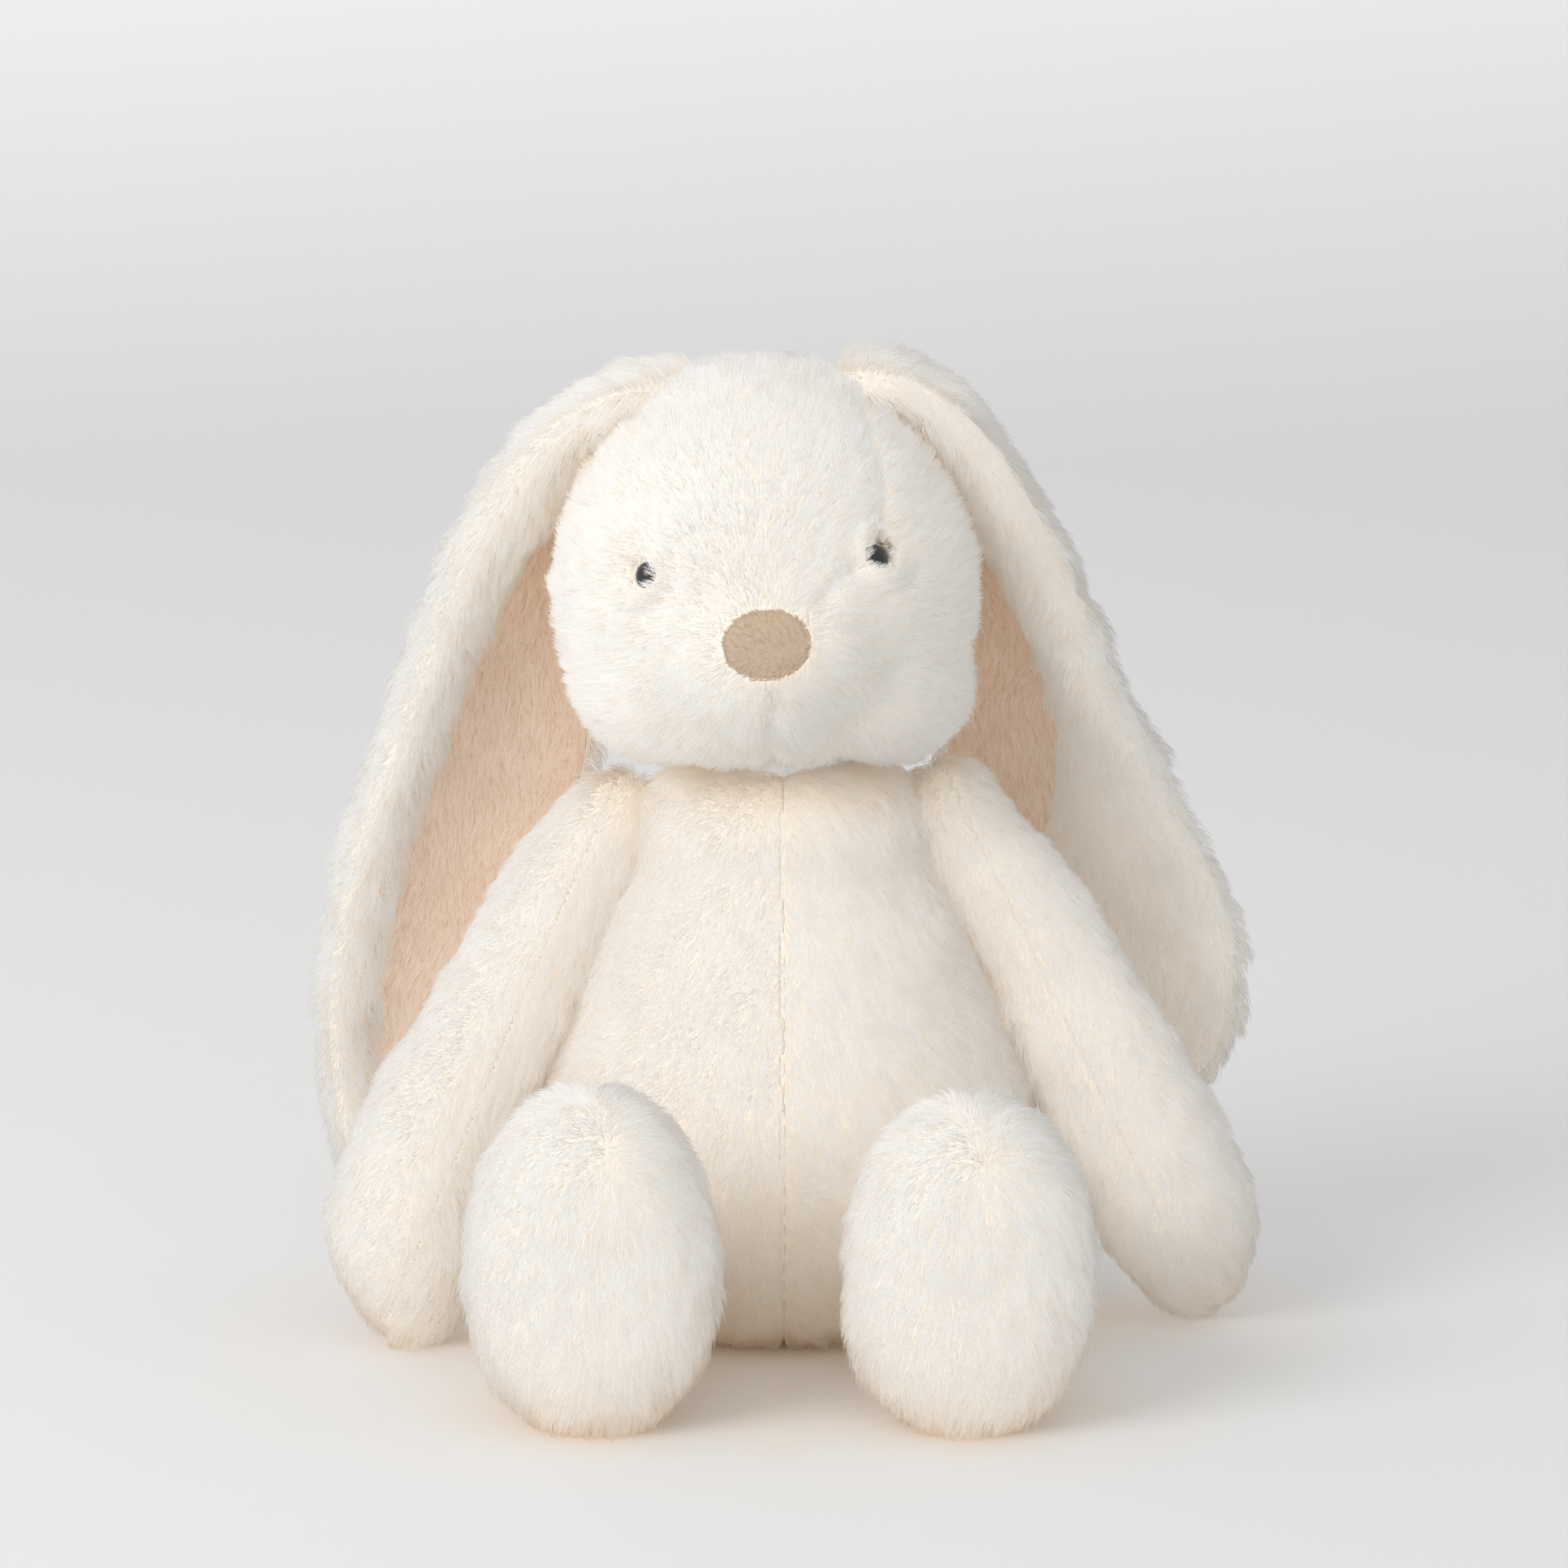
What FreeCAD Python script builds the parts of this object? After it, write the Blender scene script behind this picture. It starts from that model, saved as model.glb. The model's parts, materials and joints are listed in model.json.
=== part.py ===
import FreeCAD, Part
import math
import os

from FreeCAD import Matrix, Placement, Rotation, Vector

# Seated plush rabbit with long lop ears, in millimetres.  +Z is up, the rabbit faces -Y, and the
# origin is the centre of the flat seat under its body.  "left" is the rabbit's own left, at +X.

SIDES = {"right": -1, "left": 1}

# Cloth, filling and thread
CLOTH = 2.5                 # pile fabric with its pile pressed flat
SEAM_GAP = 0.6              # room between the sewn edges of two panels
FILL_GAP = 0.25             # room between cloth and filling
THREAD_R = 0.2
STITCH_LENGTH = 3.2
FAR = 400.0                 # longer than anything in the toy

# Body: a pear turned about Z, then flattened front to back and cut off flat at the seat
BODY_Y = 5.0
BODY_DEPTH_RATIO = 0.9
BODY_PROFILE = [
    (45.0, -0.5), (60.0, 4.5), (69.0, 14.0), (74.0, 30.0), (75.5, 50.0), (71.5, 76.0),
    (62.0, 100.0), (52.5, 122.0), (44.5, 139.0), (40.0, 153.0), (34.0, 162.5), (23.0, 168.5),
    (10.0, 170.8), (0.0, 171.2),
]
BASE_PANEL_TOP = 7.0
BODY_SEAM = (12.0, 148.0)               # heights between which the body seams are stitched
FRONT_STITCHES = 24
SIDE_STITCHES = 18
BACK_OPENING = (70.0, 130.0)            # heights of the hand-closed slit in the back seam
CLOSING_STITCHES = 16
BEAN_POUCH_CENTRE = Vector(0.0, BODY_Y, 20.0)
BEAN_POUCH_RADII = (48.0, 43.0, 15.0)
BEAN_POUCH_CLOTH = 0.8

# Neck: a round wad of filling that the head turns and nods on
NECK_CENTRE = Vector(0.0, 4.0, 171.0)
NECK_R = 20.0
NECK_ROOM = 0.5
NECK_SEAM_R = 25.0
NECK_STITCHES = 24
NECK_STITCH_LIFT = 0.5                  # height of the neck stitches above the body

# Head, drawn upright and then rolled about the neck
HEAD_ROLL = -4.2
HEAD_X = -1.6
HEAD_Y = -8.0
HEAD_DEPTH_RATIO = 0.94
HEAD_PROFILE = [
    (0.0, 177.0), (22.0, 177.4), (37.0, 179.3), (46.5, 183.5), (53.5, 191.0), (58.5, 201.5),
    (61.3, 214.0), (62.0, 228.0), (59.5, 244.0), (52.5, 260.0), (41.5, 274.5), (27.0, 286.0),
    (12.0, 292.6), (0.0, 294.0),
]
MUZZLE_CENTRE = Vector(HEAD_X, -45.5, 212.5)
MUZZLE_RADII = (36.0, 28.0, 27.0)
CHIN_SEAM = (185.0, 205.0)
CHIN_STITCHES = 7
GUSSET_STITCHES = 6
GUSSET_SPAN = (0.2, 0.9)              # share of each straight of the gusset that is stitched

# Front view of half the gusset, as (half-width, height); the front half and the back half
GUSSET_FRONT = [(11.5, 219.0), (13.0, 226.0), (33.0, 240.0), (36.0, 256.0), (33.0, 275.0), (29.0, 320.0)]
GUSSET_BACK = [(9.0, 150.0), (16.0, 210.0), (25.0, 258.0), (29.0, 290.0), (29.0, 320.0)]

NOSE_HEIGHT = 217.5
NOSE_RADII = (12.5, 9.9)
NOSE_REACH = (-40.0, 60.0)              # where the nose outline starts, and how far forward it runs
NOSE_PROUD = 0.8

EYE_SPREAD = 35.2
EYE_HEIGHT = 238.0
EYE_FACING = Vector(0.51, -0.85, 0.12)
EYE_R = 4.5
EYE_DOME = 3.8
EYE_STEM_R = 1.5
EYE_STEM_LENGTH = 10.5
SOCKET_R = 9.0
SOCKET_DEPTH = 6.8
EYE_SEAT_DEPTH = 5.4
WASHER_R = 6.5
WASHER_THICKNESS = 1.2
WASHER_ROOM = 10.0                      # depth of the room for washer and stem in the filling
STEM_ROOM = (0.05, 0.2)                 # room round the stem in the washer and in the cloth

# Arms: (x, y, z, radius) from the shoulder to the paw, with x measured outwards
ARM_STATIONS = {
    "right": [
        (49.0, 5.0, 163.0, 4.5), (50.5, 5.0, 161.0, 9.0), (53.5, 5.0, 156.5, 12.4),
        (57.6, 4.5, 147.0, 13.8), (69.5, 0.0, 125.0, 15.8), (80.5, -6.5, 106.0, 17.4),
        (93.5, -15.0, 84.0, 18.6), (106.0, -24.0, 64.0, 19.4), (113.0, -31.0, 45.0, 19.9),
        (116.5, -35.0, 29.0, 19.0), (117.5, -37.5, 16.0, 14.5), (118.0, -38.5, 8.5, 9.0),
        (118.0, -39.0, 4.0, 4.0),
    ],
    "left": [
        (49.0, 5.0, 163.0, 4.5), (50.5, 5.0, 161.0, 9.0), (53.5, 5.0, 156.5, 12.4),
        (57.6, 4.3, 147.0, 13.8), (67.0, 2.0, 132.0, 14.6), (78.5, 0.0, 115.5, 15.8),
        (89.0, -2.0, 98.0, 17.8), (99.5, -4.0, 78.0, 19.6), (109.0, -6.0, 60.0, 20.8),
        (116.0, -7.0, 45.0, 21.3), (121.0, -7.5, 31.0, 20.3), (123.5, -8.0, 19.0, 16.0),
        (124.5, -8.0, 11.0, 10.0), (125.0, -8.0, 6.5, 4.0),
    ],
}
ARM_SEAM_OFFSET = 1.5                   # how far outside the arm's middle the parting plane lies
LEAST_ARM_R = 1.5

# Legs: a foot turned about a line along Y and stretched upright, and an egg-shaped thigh
FOOT_PROFILE = [
    (0.0, 87.0), (13.0, 89.0), (23.0, 94.5), (29.5, 102.5), (33.0, 111.5), (34.2, 121.0),
    (33.6, 129.5), (30.8, 136.5), (24.5, 141.8), (14.0, 144.7), (0.0, 145.5),
]
FOOT_HEIGHT_RATIO = {"right": 1.43, "left": 1.387}
FOOT_MIDDLE = {"right": 49.3, "left": 47.9}
THIGH_Y = -82.0
THIGH_HEIGHT = 33.0
THIGH_RADII = (27.5, 33.0, 28.0)
LEG_X = {"right": -54.6, "left": 52.6}
SOLE_Y = -129.0
SOLE_STITCHES = 25

# Ears: (x, y, z, width direction x, width direction y, half-width) with x measured outwards
EAR_STATIONS = {
    "right": [
        (34.5, 1.0, 287.5, 0.15, -1.00, 12.0), (45.0, 3.0, 283.0, 0.25, -0.97, 16.0),
        (60.5, 9.0, 267.0, 0.50, -0.85, 21.0), (75.0, 17.0, 239.0, 0.72, -0.68, 25.0),
        (84.5, 28.0, 206.0, 0.88, -0.45, 28.5), (91.0, 37.5, 170.0, 0.97, -0.22, 33.0),
        (104.0, 44.0, 130.0, 1.00, -0.10, 32.5), (114.0, 47.0, 92.0, 1.00, 0.00, 29.0),
        (118.5, 48.5, 58.0, 1.00, 0.00, 24.0), (121.0, 49.0, 36.0, 1.00, 0.00, 15.5),
        (122.0, 49.0, 26.0, 1.00, 0.00, 6.0),
    ],
    "left": [
        (22.5, 1.0, 291.5, 0.15, -1.00, 12.0), (33.0, 3.0, 289.0, 0.25, -0.97, 16.0),
        (47.5, 8.0, 275.5, 0.45, -0.88, 20.5), (60.5, 16.0, 248.0, 0.60, -0.80, 23.5),
        (72.5, 26.0, 213.0, 0.76, -0.65, 26.0), (82.0, 36.5, 177.0, 0.88, -0.47, 29.0),
        (95.0, 43.5, 141.0, 0.95, -0.25, 30.0), (110.5, 47.5, 108.0, 1.00, -0.05, 29.0),
        (117.0, 49.0, 83.0, 1.00, 0.00, 24.0), (119.5, 49.5, 66.0, 1.00, 0.00, 15.0),
        (120.5, 49.5, 58.0, 1.00, 0.00, 6.0),
    ],
}
EAR_BACK_RISE = (11.0, 6.5)         # rise of the fur panel's outer and inner faces at mid-width
EAR_LINING_RISE = (5.9, 2.6)        # the same for the lining
EAR_LINING_MARGIN = 1.6             # how far the lining stops short of each edge
EAR_FULL_HALF_WIDTH = 29.0          # half-width at which the rises above hold
EAR_LEAST_RISE = 0.35               # share of the rises that the narrowest section keeps
EAR_ROOT_STITCHES = 7
EAR_ROOT_STITCH_SPAN = 0.7          # share of the root's width that is stitched
EAR_ROOT_STITCH_LENGTH = 2.4
EAR_ROOT_STITCH_LIFT = 0.9          # height of these stitches above the head

# Tail: a flattened pompom on the back
TAIL_CENTRE = Vector(0.0, 89.3, 38.0)
TAIL_RADII = (21.0, 15.0, 21.0)
TAIL_SEAM_R = 9.0
TAIL_STITCHES = 10
TAIL_STITCH_LENGTH = 1.0
TAIL_STITCH_DEPTH = 0.4                 # how far the stitches start inside the tail's front

# Blank label in the back seam, under the tail
LABEL_SIZE = (0.5, 34.0, 14.0)
LABEL_CORNER = Vector(-0.25, 50.0, 1.5)


# ---------------------------------------------------------------- solids

def scaled_about(shape, centre, factors):
    """Stretch a shape about a point by one factor for each axis."""
    matrix = Matrix()
    matrix.move(centre.negative())
    matrix.scale(*factors)
    matrix.move(centre)
    return shape.transformGeometry(matrix)


def ellipsoid(centre, radii, grow=0.0):
    ball = Part.makeSphere(1.0)
    shape = scaled_about(ball, Vector(), [radius + grow for radius in radii])
    shape.translate(centre)
    return shape


def turned(profile, depth_ratio, x_centre, y_centre, shrink=0.0):
    """Turn a (radius, height) profile about Z and flatten it, then take the shrinkage off each side."""
    points = [Vector(radius, 0.0, height) for radius, height in profile]
    curve = Part.BSplineCurve()
    curve.interpolate(points)
    edges = [curve.toShape()]
    corners = [points[-1], Vector(0, 0, points[-1].z), Vector(0, 0, points[0].z), points[0]]
    for start, end in zip(corners, corners[1:]):
        if start.distanceToPoint(end) > 1e-6:
            edges.append(Part.makeLine(start, end))
    face = Part.Face(Part.Wire(Part.__sortEdges__(edges)))
    solid = face.revolve(Vector(), Vector(0, 0, 1), 360)
    widest = max(radius for radius, height in profile)
    heights = [height for radius, height in profile]
    middle = Vector(0.0, 0.0, (min(heights) + max(heights)) / 2.0)
    half_sizes = (widest, widest * depth_ratio, (max(heights) - min(heights)) / 2.0)
    factors = [1.0 - shrink / half_size for half_size in half_sizes]
    factors[1] = factors[1] * depth_ratio
    solid = scaled_about(solid, middle, factors)
    solid.translate(Vector(x_centre, y_centre, 0.0))
    return solid


def block(low, high):
    size = Vector(*high) - Vector(*low)
    return Part.makeBox(size.x, size.y, size.z, Vector(*low))


def half_space(point, normal):
    """A large block on the side of a plane that its normal points to."""
    slab = Part.makeBox(2 * FAR, 2 * FAR, FAR, Vector(-FAR, -FAR, 0.0))
    slab.Placement = Placement(point, Rotation(Vector(0, 0, 1), normal))
    return slab


def cylinder(start, direction, radius, length):
    return Part.makeCylinder(radius, length, start, direction)


def fused(shapes):
    result = shapes[0]
    if len(shapes) > 1:
        result = shapes[0].fuse(shapes[1:])
    return result.removeSplitter()


def stations_loft(wires):
    return Part.makeLoft(wires, True, False)


# ---------------------------------------------------------------- stitches

def surface_point(solid, origin, direction):
    """Where a ray from inside a solid leaves it for the last time."""
    line = Part.makeLine(origin, origin + direction * FAR)
    hits = [pair[0] for pair in line.distToShape(solid.Shells[0])[1]]
    return max(hits, key=lambda point: (point - origin).dot(direction))


def stitch(point, tangent, length=STITCH_LENGTH):
    start = point - tangent * (length / 2.0)
    return cylinder(start, tangent, THREAD_R, length)


def stitch_row(points):
    """One short stitch at each point of a row, but its ends, along the row."""
    stitches = []
    for before, point, after in zip(points, points[1:], points[2:]):
        tangent = (after - before).normalize()
        stitches.append(stitch(point, tangent))
    return stitches


def spaced(low, high, count):
    return [low + (high - low) * index / (count - 1) for index in range(count)]


def closed_round(count):
    """Angles once round, with two more so that a row of stitches closes on itself."""
    return [2.0 * math.pi * index / count for index in range(count + 2)]


# ---------------------------------------------------------------- output

NODES = {}


def add(name, shape):
    solids = shape.Solids
    NODES[name] = solids[0] if len(solids) == 1 else Part.makeCompound(solids)


def add_stitches(name, stitches):
    NODES[name] = Part.makeCompound(stitches)


# ---------------------------------------------------------------- body and tail

def neck_room():
    return Part.makeSphere(NECK_R + NECK_ROOM, NECK_CENTRE)


def body_solid(shrink):
    return turned(BODY_PROFILE, BODY_DEPTH_RATIO, 0.0, BODY_Y, shrink)


def make_body():
    middle = body_solid(CLOTH / 2.0)
    shell = body_solid(0.0).cut(body_solid(CLOTH)).cut(neck_room())
    half_gap = SEAM_GAP / 2.0

    below = block((-FAR, -FAR, 0.0), (FAR, FAR, BASE_PANEL_TOP - half_gap))
    above = block((-FAR, -FAR, BASE_PANEL_TOP + half_gap), (FAR, FAR, FAR))
    add("body_base", shell.common(below))
    upper = shell.common(above)
    quarters = {"front": (-FAR, BODY_Y - half_gap), "back": (BODY_Y + half_gap, FAR)}
    for face, (low_y, high_y) in quarters.items():
        for side, sign in SIDES.items():
            low_x = half_gap if sign > 0 else -FAR
            region = block((low_x, low_y, 0.0), (low_x + FAR - half_gap, high_y, FAR))
            add("body_%s_%s" % (face, side), upper.common(region))

    pouch = ellipsoid(BEAN_POUCH_CENTRE, BEAN_POUCH_RADII)
    pouch_inside = ellipsoid(BEAN_POUCH_CENTRE, BEAN_POUCH_RADII, -BEAN_POUCH_CLOTH)
    add("bean_pouch", pouch.cut(pouch_inside))
    add("bean_fill", ellipsoid(BEAN_POUCH_CENTRE, BEAN_POUCH_RADII, -BEAN_POUCH_CLOTH - FILL_GAP))
    pouch_room = ellipsoid(BEAN_POUCH_CENTRE, BEAN_POUCH_RADII, FILL_GAP)
    filling = body_solid(CLOTH + FILL_GAP).cut(pouch_room).cut(neck_room())
    add("body_stuffing", filling)

    def seam(direction, heights):
        points = [surface_point(middle, Vector(0, BODY_Y, z), direction) for z in heights]
        return stitch_row(points)

    add_stitches("body_front_stitches", seam(Vector(0, -1, 0), spaced(*BODY_SEAM, FRONT_STITCHES)))
    closing = seam(Vector(0, 1, 0), spaced(*BACK_OPENING, CLOSING_STITCHES))
    add_stitches("back_closing_stitches", closing)
    side_stitches = seam(Vector(1, 0, 0), spaced(*BODY_SEAM, SIDE_STITCHES))
    side_stitches += seam(Vector(-1, 0, 0), spaced(*BODY_SEAM, SIDE_STITCHES))
    add_stitches("body_side_stitches", side_stitches)


def make_tail():
    outer = ellipsoid(TAIL_CENTRE, TAIL_RADII)
    add("tail_cover", outer.cut(ellipsoid(TAIL_CENTRE, TAIL_RADII, -CLOTH)))
    add("tail_stuffing", ellipsoid(TAIL_CENTRE, TAIL_RADII, -CLOTH - FILL_GAP))
    root = TAIL_CENTRE - Vector(0, TAIL_RADII[1] - TAIL_STITCH_DEPTH, 0)
    stitches = []
    for angle in spaced(0.0, 2.0 * math.pi, TAIL_STITCHES + 1)[1:]:
        arm = Vector(TAIL_SEAM_R * math.cos(angle), 0, TAIL_SEAM_R * math.sin(angle))
        stitches.append(stitch(root + arm, Vector(0, 1, 0), TAIL_STITCH_LENGTH))
    add_stitches("tail_stitches", stitches)


def make_label():
    thickness, depth, height = LABEL_SIZE
    label = Part.makeBox(thickness, depth, height, LABEL_CORNER)
    add("care_label", label.cut(body_solid(-FILL_GAP)))


# ---------------------------------------------------------------- head

def head_blob(shrink):
    skull = turned(HEAD_PROFILE, HEAD_DEPTH_RATIO, HEAD_X, HEAD_Y, shrink)
    blob = fused([skull, ellipsoid(MUZZLE_CENTRE, MUZZLE_RADII, -shrink)])
    for sign in SIDES.values():
        point, facing = eye_place(sign)
        centre = point + facing * (SOCKET_R - SOCKET_DEPTH)
        blob = blob.cut(Part.makeSphere(SOCKET_R + shrink, centre))
    return blob


def eye_place(sign):
    """The point of the plain head's surface at an eye, and the direction it faces."""
    width = [radius for radius, height in HEAD_PROFILE if height <= EYE_HEIGHT][-1]
    reach = HEAD_DEPTH_RATIO * math.sqrt(width ** 2 - EYE_SPREAD ** 2)
    point = Vector(HEAD_X + sign * EYE_SPREAD, HEAD_Y - reach, EYE_HEIGHT)
    facing = Vector(sign * EYE_FACING.x, EYE_FACING.y, EYE_FACING.z).normalize()
    return point, facing


def gusset_region(grow):
    """The region of the gusset: a front view outline ahead of the crown, another behind it."""
    regions = []
    for outline, low_y, high_y in ((GUSSET_FRONT, -FAR, HEAD_Y), (GUSSET_BACK, HEAD_Y, FAR)):
        right = [Vector(HEAD_X - width - grow, low_y, height) for width, height in outline]
        left = [Vector(HEAD_X + width + grow, low_y, height) for width, height in outline]
        corners = right + left[::-1]
        face = Part.Face(Part.makePolygon(corners + corners[:1]))
        regions.append(face.extrude(Vector(0, high_y - low_y, 0)))
    return fused(regions)


def nose_region(grow):
    ellipse = Part.Ellipse(Vector(0, 0, 0), NOSE_RADII[0] + grow, NOSE_RADII[1] + grow)
    face = Part.Face(Part.Wire(ellipse.toShape()))
    start, length = NOSE_REACH
    region = face.extrude(Vector(0, 0, length))
    region.Placement = Placement(Vector(HEAD_X, start, NOSE_HEIGHT), Rotation(Vector(1, 0, 0), 90))
    return region


def rolled(shape):
    turned_shape = shape.copy()
    turned_shape.rotate(NECK_CENTRE, Vector(0, 1, 0), HEAD_ROLL)
    return turned_shape


def make_eyes(panels):
    """Add the eyes and their washers, and give each panel the hole for its stem."""
    for side, sign in SIDES.items():
        point, facing = eye_place(sign)
        inward = facing.negative()
        seat = point + inward * EYE_SEAT_DEPTH
        dome = ellipsoid(Vector(), (EYE_R, EYE_R, EYE_DOME)).common(half_space(Vector(), Vector(0, 0, 1)))
        dome.Placement = Placement(seat, Rotation(Vector(0, 0, 1), facing))
        stem = cylinder(seat, inward, EYE_STEM_R, EYE_STEM_LENGTH)
        add("eye_" + side, rolled(fused([dome, stem])))
        washer_start = point + inward * (SOCKET_DEPTH + CLOTH + FILL_GAP)
        washer = cylinder(washer_start, inward, WASHER_R, WASHER_THICKNESS)
        bore = cylinder(seat, inward, EYE_STEM_R + STEM_ROOM[0], FAR)
        add("eye_washer_" + side, rolled(washer.cut(bore)))
        hole = cylinder(point, inward, EYE_STEM_R + STEM_ROOM[1], SOCKET_DEPTH + WASHER_ROOM)
        panels = [panel.cut(hole) for panel in panels]
    return panels


def eye_room():
    rooms = []
    for sign in SIDES.values():
        point, facing = eye_place(sign)
        start = point - facing * SOCKET_DEPTH
        rooms.append(cylinder(start, facing.negative(), WASHER_R + FILL_GAP, WASHER_ROOM))
    return rooms


def make_head():
    outer = head_blob(0.0)
    inner = head_blob(CLOTH)
    middle = head_blob(CLOTH / 2.0)
    shell = outer.cut(inner).cut(neck_room()).cut(nose_region(SEAM_GAP / 2.0))
    half_gap = SEAM_GAP / 2.0
    gusset = shell.common(gusset_region(-half_gap))
    cheeks = shell.cut(gusset_region(half_gap))
    panels = [gusset]
    for sign in SIDES.values():
        low_x = HEAD_X + half_gap if sign > 0 else HEAD_X - FAR
        panels.append(cheeks.common(block((low_x, -FAR, 0), (low_x + FAR - half_gap, FAR, FAR))))
    panels = make_eyes(panels)
    for name, panel in zip(("head_gusset", "head_side_right", "head_side_left"), panels):
        add(name, rolled(panel))

    nose_outside = ellipsoid(MUZZLE_CENTRE, MUZZLE_RADII, NOSE_PROUD)
    nose = nose_outside.common(nose_region(0.0)).cut(inner)
    add("nose_patch", rolled(nose))

    filling = head_blob(CLOTH + FILL_GAP).cut(neck_room())
    for room in eye_room():
        filling = filling.cut(room)
    add("head_stuffing", rolled(filling))

    core = Part.makeSphere(NECK_R, NECK_CENTRE)
    add("neck_stuffing", core)
    neck_points = []
    body = body_solid(0.0)
    for angle in closed_round(NECK_STITCHES):
        foot = NECK_CENTRE + Vector(NECK_SEAM_R * math.cos(angle), NECK_SEAM_R * math.sin(angle), 0)
        inside = Vector(foot.x, foot.y, BODY_SEAM[0])
        foot.z = NECK_STITCH_LIFT + surface_point(body, inside, Vector(0, 0, 1)).z
        neck_points.append(foot)
    add_stitches("neck_stitches", stitch_row(neck_points))

    chin = []
    for height in spaced(*CHIN_SEAM, CHIN_STITCHES):
        chin.append(surface_point(middle, Vector(HEAD_X, HEAD_Y, height), Vector(0, -1, 0)))
    stitches = stitch_row(chin)
    for sign in SIDES.values():
        for (near_x, low), (far_x, high) in zip(GUSSET_FRONT[2:], GUSSET_FRONT[3:5]):
            row = []
            for share in spaced(*GUSSET_SPAN, GUSSET_STITCHES):
                width = near_x + (far_x - near_x) * share
                height = low + (high - low) * share
                origin = Vector(HEAD_X + sign * width, HEAD_Y, height)
                row.append(surface_point(middle, origin, Vector(0, -1, 0)))
            stitches += stitch_row(row)
    add_stitches("head_stitches", [rolled(piece) for piece in stitches])


# ---------------------------------------------------------------- ears

def ear_frame(side, index):
    """Centre, width direction, back direction and half-width of one ear section."""
    sign = SIDES[side]
    stations = EAR_STATIONS[side]

    def centre_of(place):
        x, y, z = stations[place][:3]
        return Vector(sign * x, y, z)

    before = max(index - 1, 0)
    after = min(index + 1, len(stations) - 1)
    along = (centre_of(after) - centre_of(before)).normalize()
    wide_x, wide_y, half_width = stations[index][3:]
    wide = Vector(sign * wide_x, wide_y, 0.0)
    wide = (wide - along * wide.dot(along)).normalize()
    back = along.cross(wide) * -sign
    return centre_of(index), wide, back, half_width


def ear_layer(side, rises, margin):
    wires = []
    for index in range(len(EAR_STATIONS[side])):
        centre, wide, back, half_width = ear_frame(side, index)
        fullness = min(1.0, half_width / EAR_FULL_HALF_WIDTH)
        share = EAR_LEAST_RISE + (1.0 - EAR_LEAST_RISE) * fullness
        reach = half_width * (1.0 - margin / EAR_FULL_HALF_WIDTH)
        start = centre - wide * reach
        end = centre + wide * reach
        arcs = []
        for rise in rises:
            arcs.append(Part.Arc(start, centre + back * (rise * share), end).toShape())
        wires.append(Part.Wire(arcs))
    return stations_loft(wires)


def make_ears():
    head = rolled(head_blob(0.0))
    for side in SIDES:
        add("ear_back_" + side, ear_layer(side, EAR_BACK_RISE, 0.0))
        add("ear_lining_" + side, ear_layer(side, EAR_LINING_RISE, EAR_LINING_MARGIN))
        centre, wide, back, half_width = ear_frame(side, 0)
        stitches = []
        for share in spaced(-EAR_ROOT_STITCH_SPAN, EAR_ROOT_STITCH_SPAN, EAR_ROOT_STITCHES):
            origin = centre + wide * (share * half_width)
            origin.z = EYE_HEIGHT
            top = surface_point(head, origin, Vector(0, 0, 1))
            top.z = top.z + EAR_ROOT_STITCH_LIFT
            stitches.append(stitch(top, wide, EAR_ROOT_STITCH_LENGTH))
        add_stitches("ear_root_stitches_" + side, stitches)


# ---------------------------------------------------------------- arms and legs

def arm_solid(side, shrink):
    sign = SIDES[side]
    stations = [(Vector(sign * x, y, z), radius) for x, y, z, radius in ARM_STATIONS[side]]
    wires = []
    last = len(stations) - 1
    for index, (centre, radius) in enumerate(stations):
        before = stations[max(index - 1, 0)][0]
        after = stations[min(index + 1, last)][0]
        along = (after - before).normalize()
        middle = centre + along * (shrink * (1.0 - 2.0 * index / last))
        circle = Part.Circle(middle, along, max(radius - shrink, LEAST_ARM_R))
        circle.XAxis = Vector(0, -1, 0).cross(along).normalize()
        wires.append(Part.Wire(circle.toShape()))
    return stations_loft(wires)


def arm_seam_plane(side):
    """A point and the outward normal of the plane that parts the two arm panels."""
    sign = SIDES[side]
    stations = ARM_STATIONS[side]
    top, bottom = [Vector(sign * x, y, z) for x, y, z, radius in (stations[2], stations[-2])]
    along = bottom - top
    normal = Vector(sign * abs(along.z), 0.0, abs(along.x)).normalize()
    return (top + bottom) * 0.5 + normal * ARM_SEAM_OFFSET, normal


def make_arms():
    for side in SIDES:
        shell = arm_solid(side, 0.0).cut(arm_solid(side, CLOTH))
        point, normal = arm_seam_plane(side)
        half_gap = SEAM_GAP / 2.0
        add("arm_outer_" + side, shell.common(half_space(point + normal * half_gap, normal)))
        inward = normal.negative()
        add("arm_inner_" + side, shell.common(half_space(point + inward * half_gap, inward)))
        add("arm_stuffing_" + side, arm_solid(side, CLOTH + FILL_GAP))


def leg_solid(side, shrink):
    foot = turned(FOOT_PROFILE, FOOT_HEIGHT_RATIO[side], 0.0, 0.0, shrink)
    foot.rotate(Vector(), Vector(1, 0, 0), 90)
    foot.translate(Vector(LEG_X[side], 0.0, FOOT_MIDDLE[side]))
    thigh = ellipsoid(Vector(LEG_X[side], THIGH_Y, THIGH_HEIGHT), THIGH_RADII, -shrink)
    return fused([foot, thigh])


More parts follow.
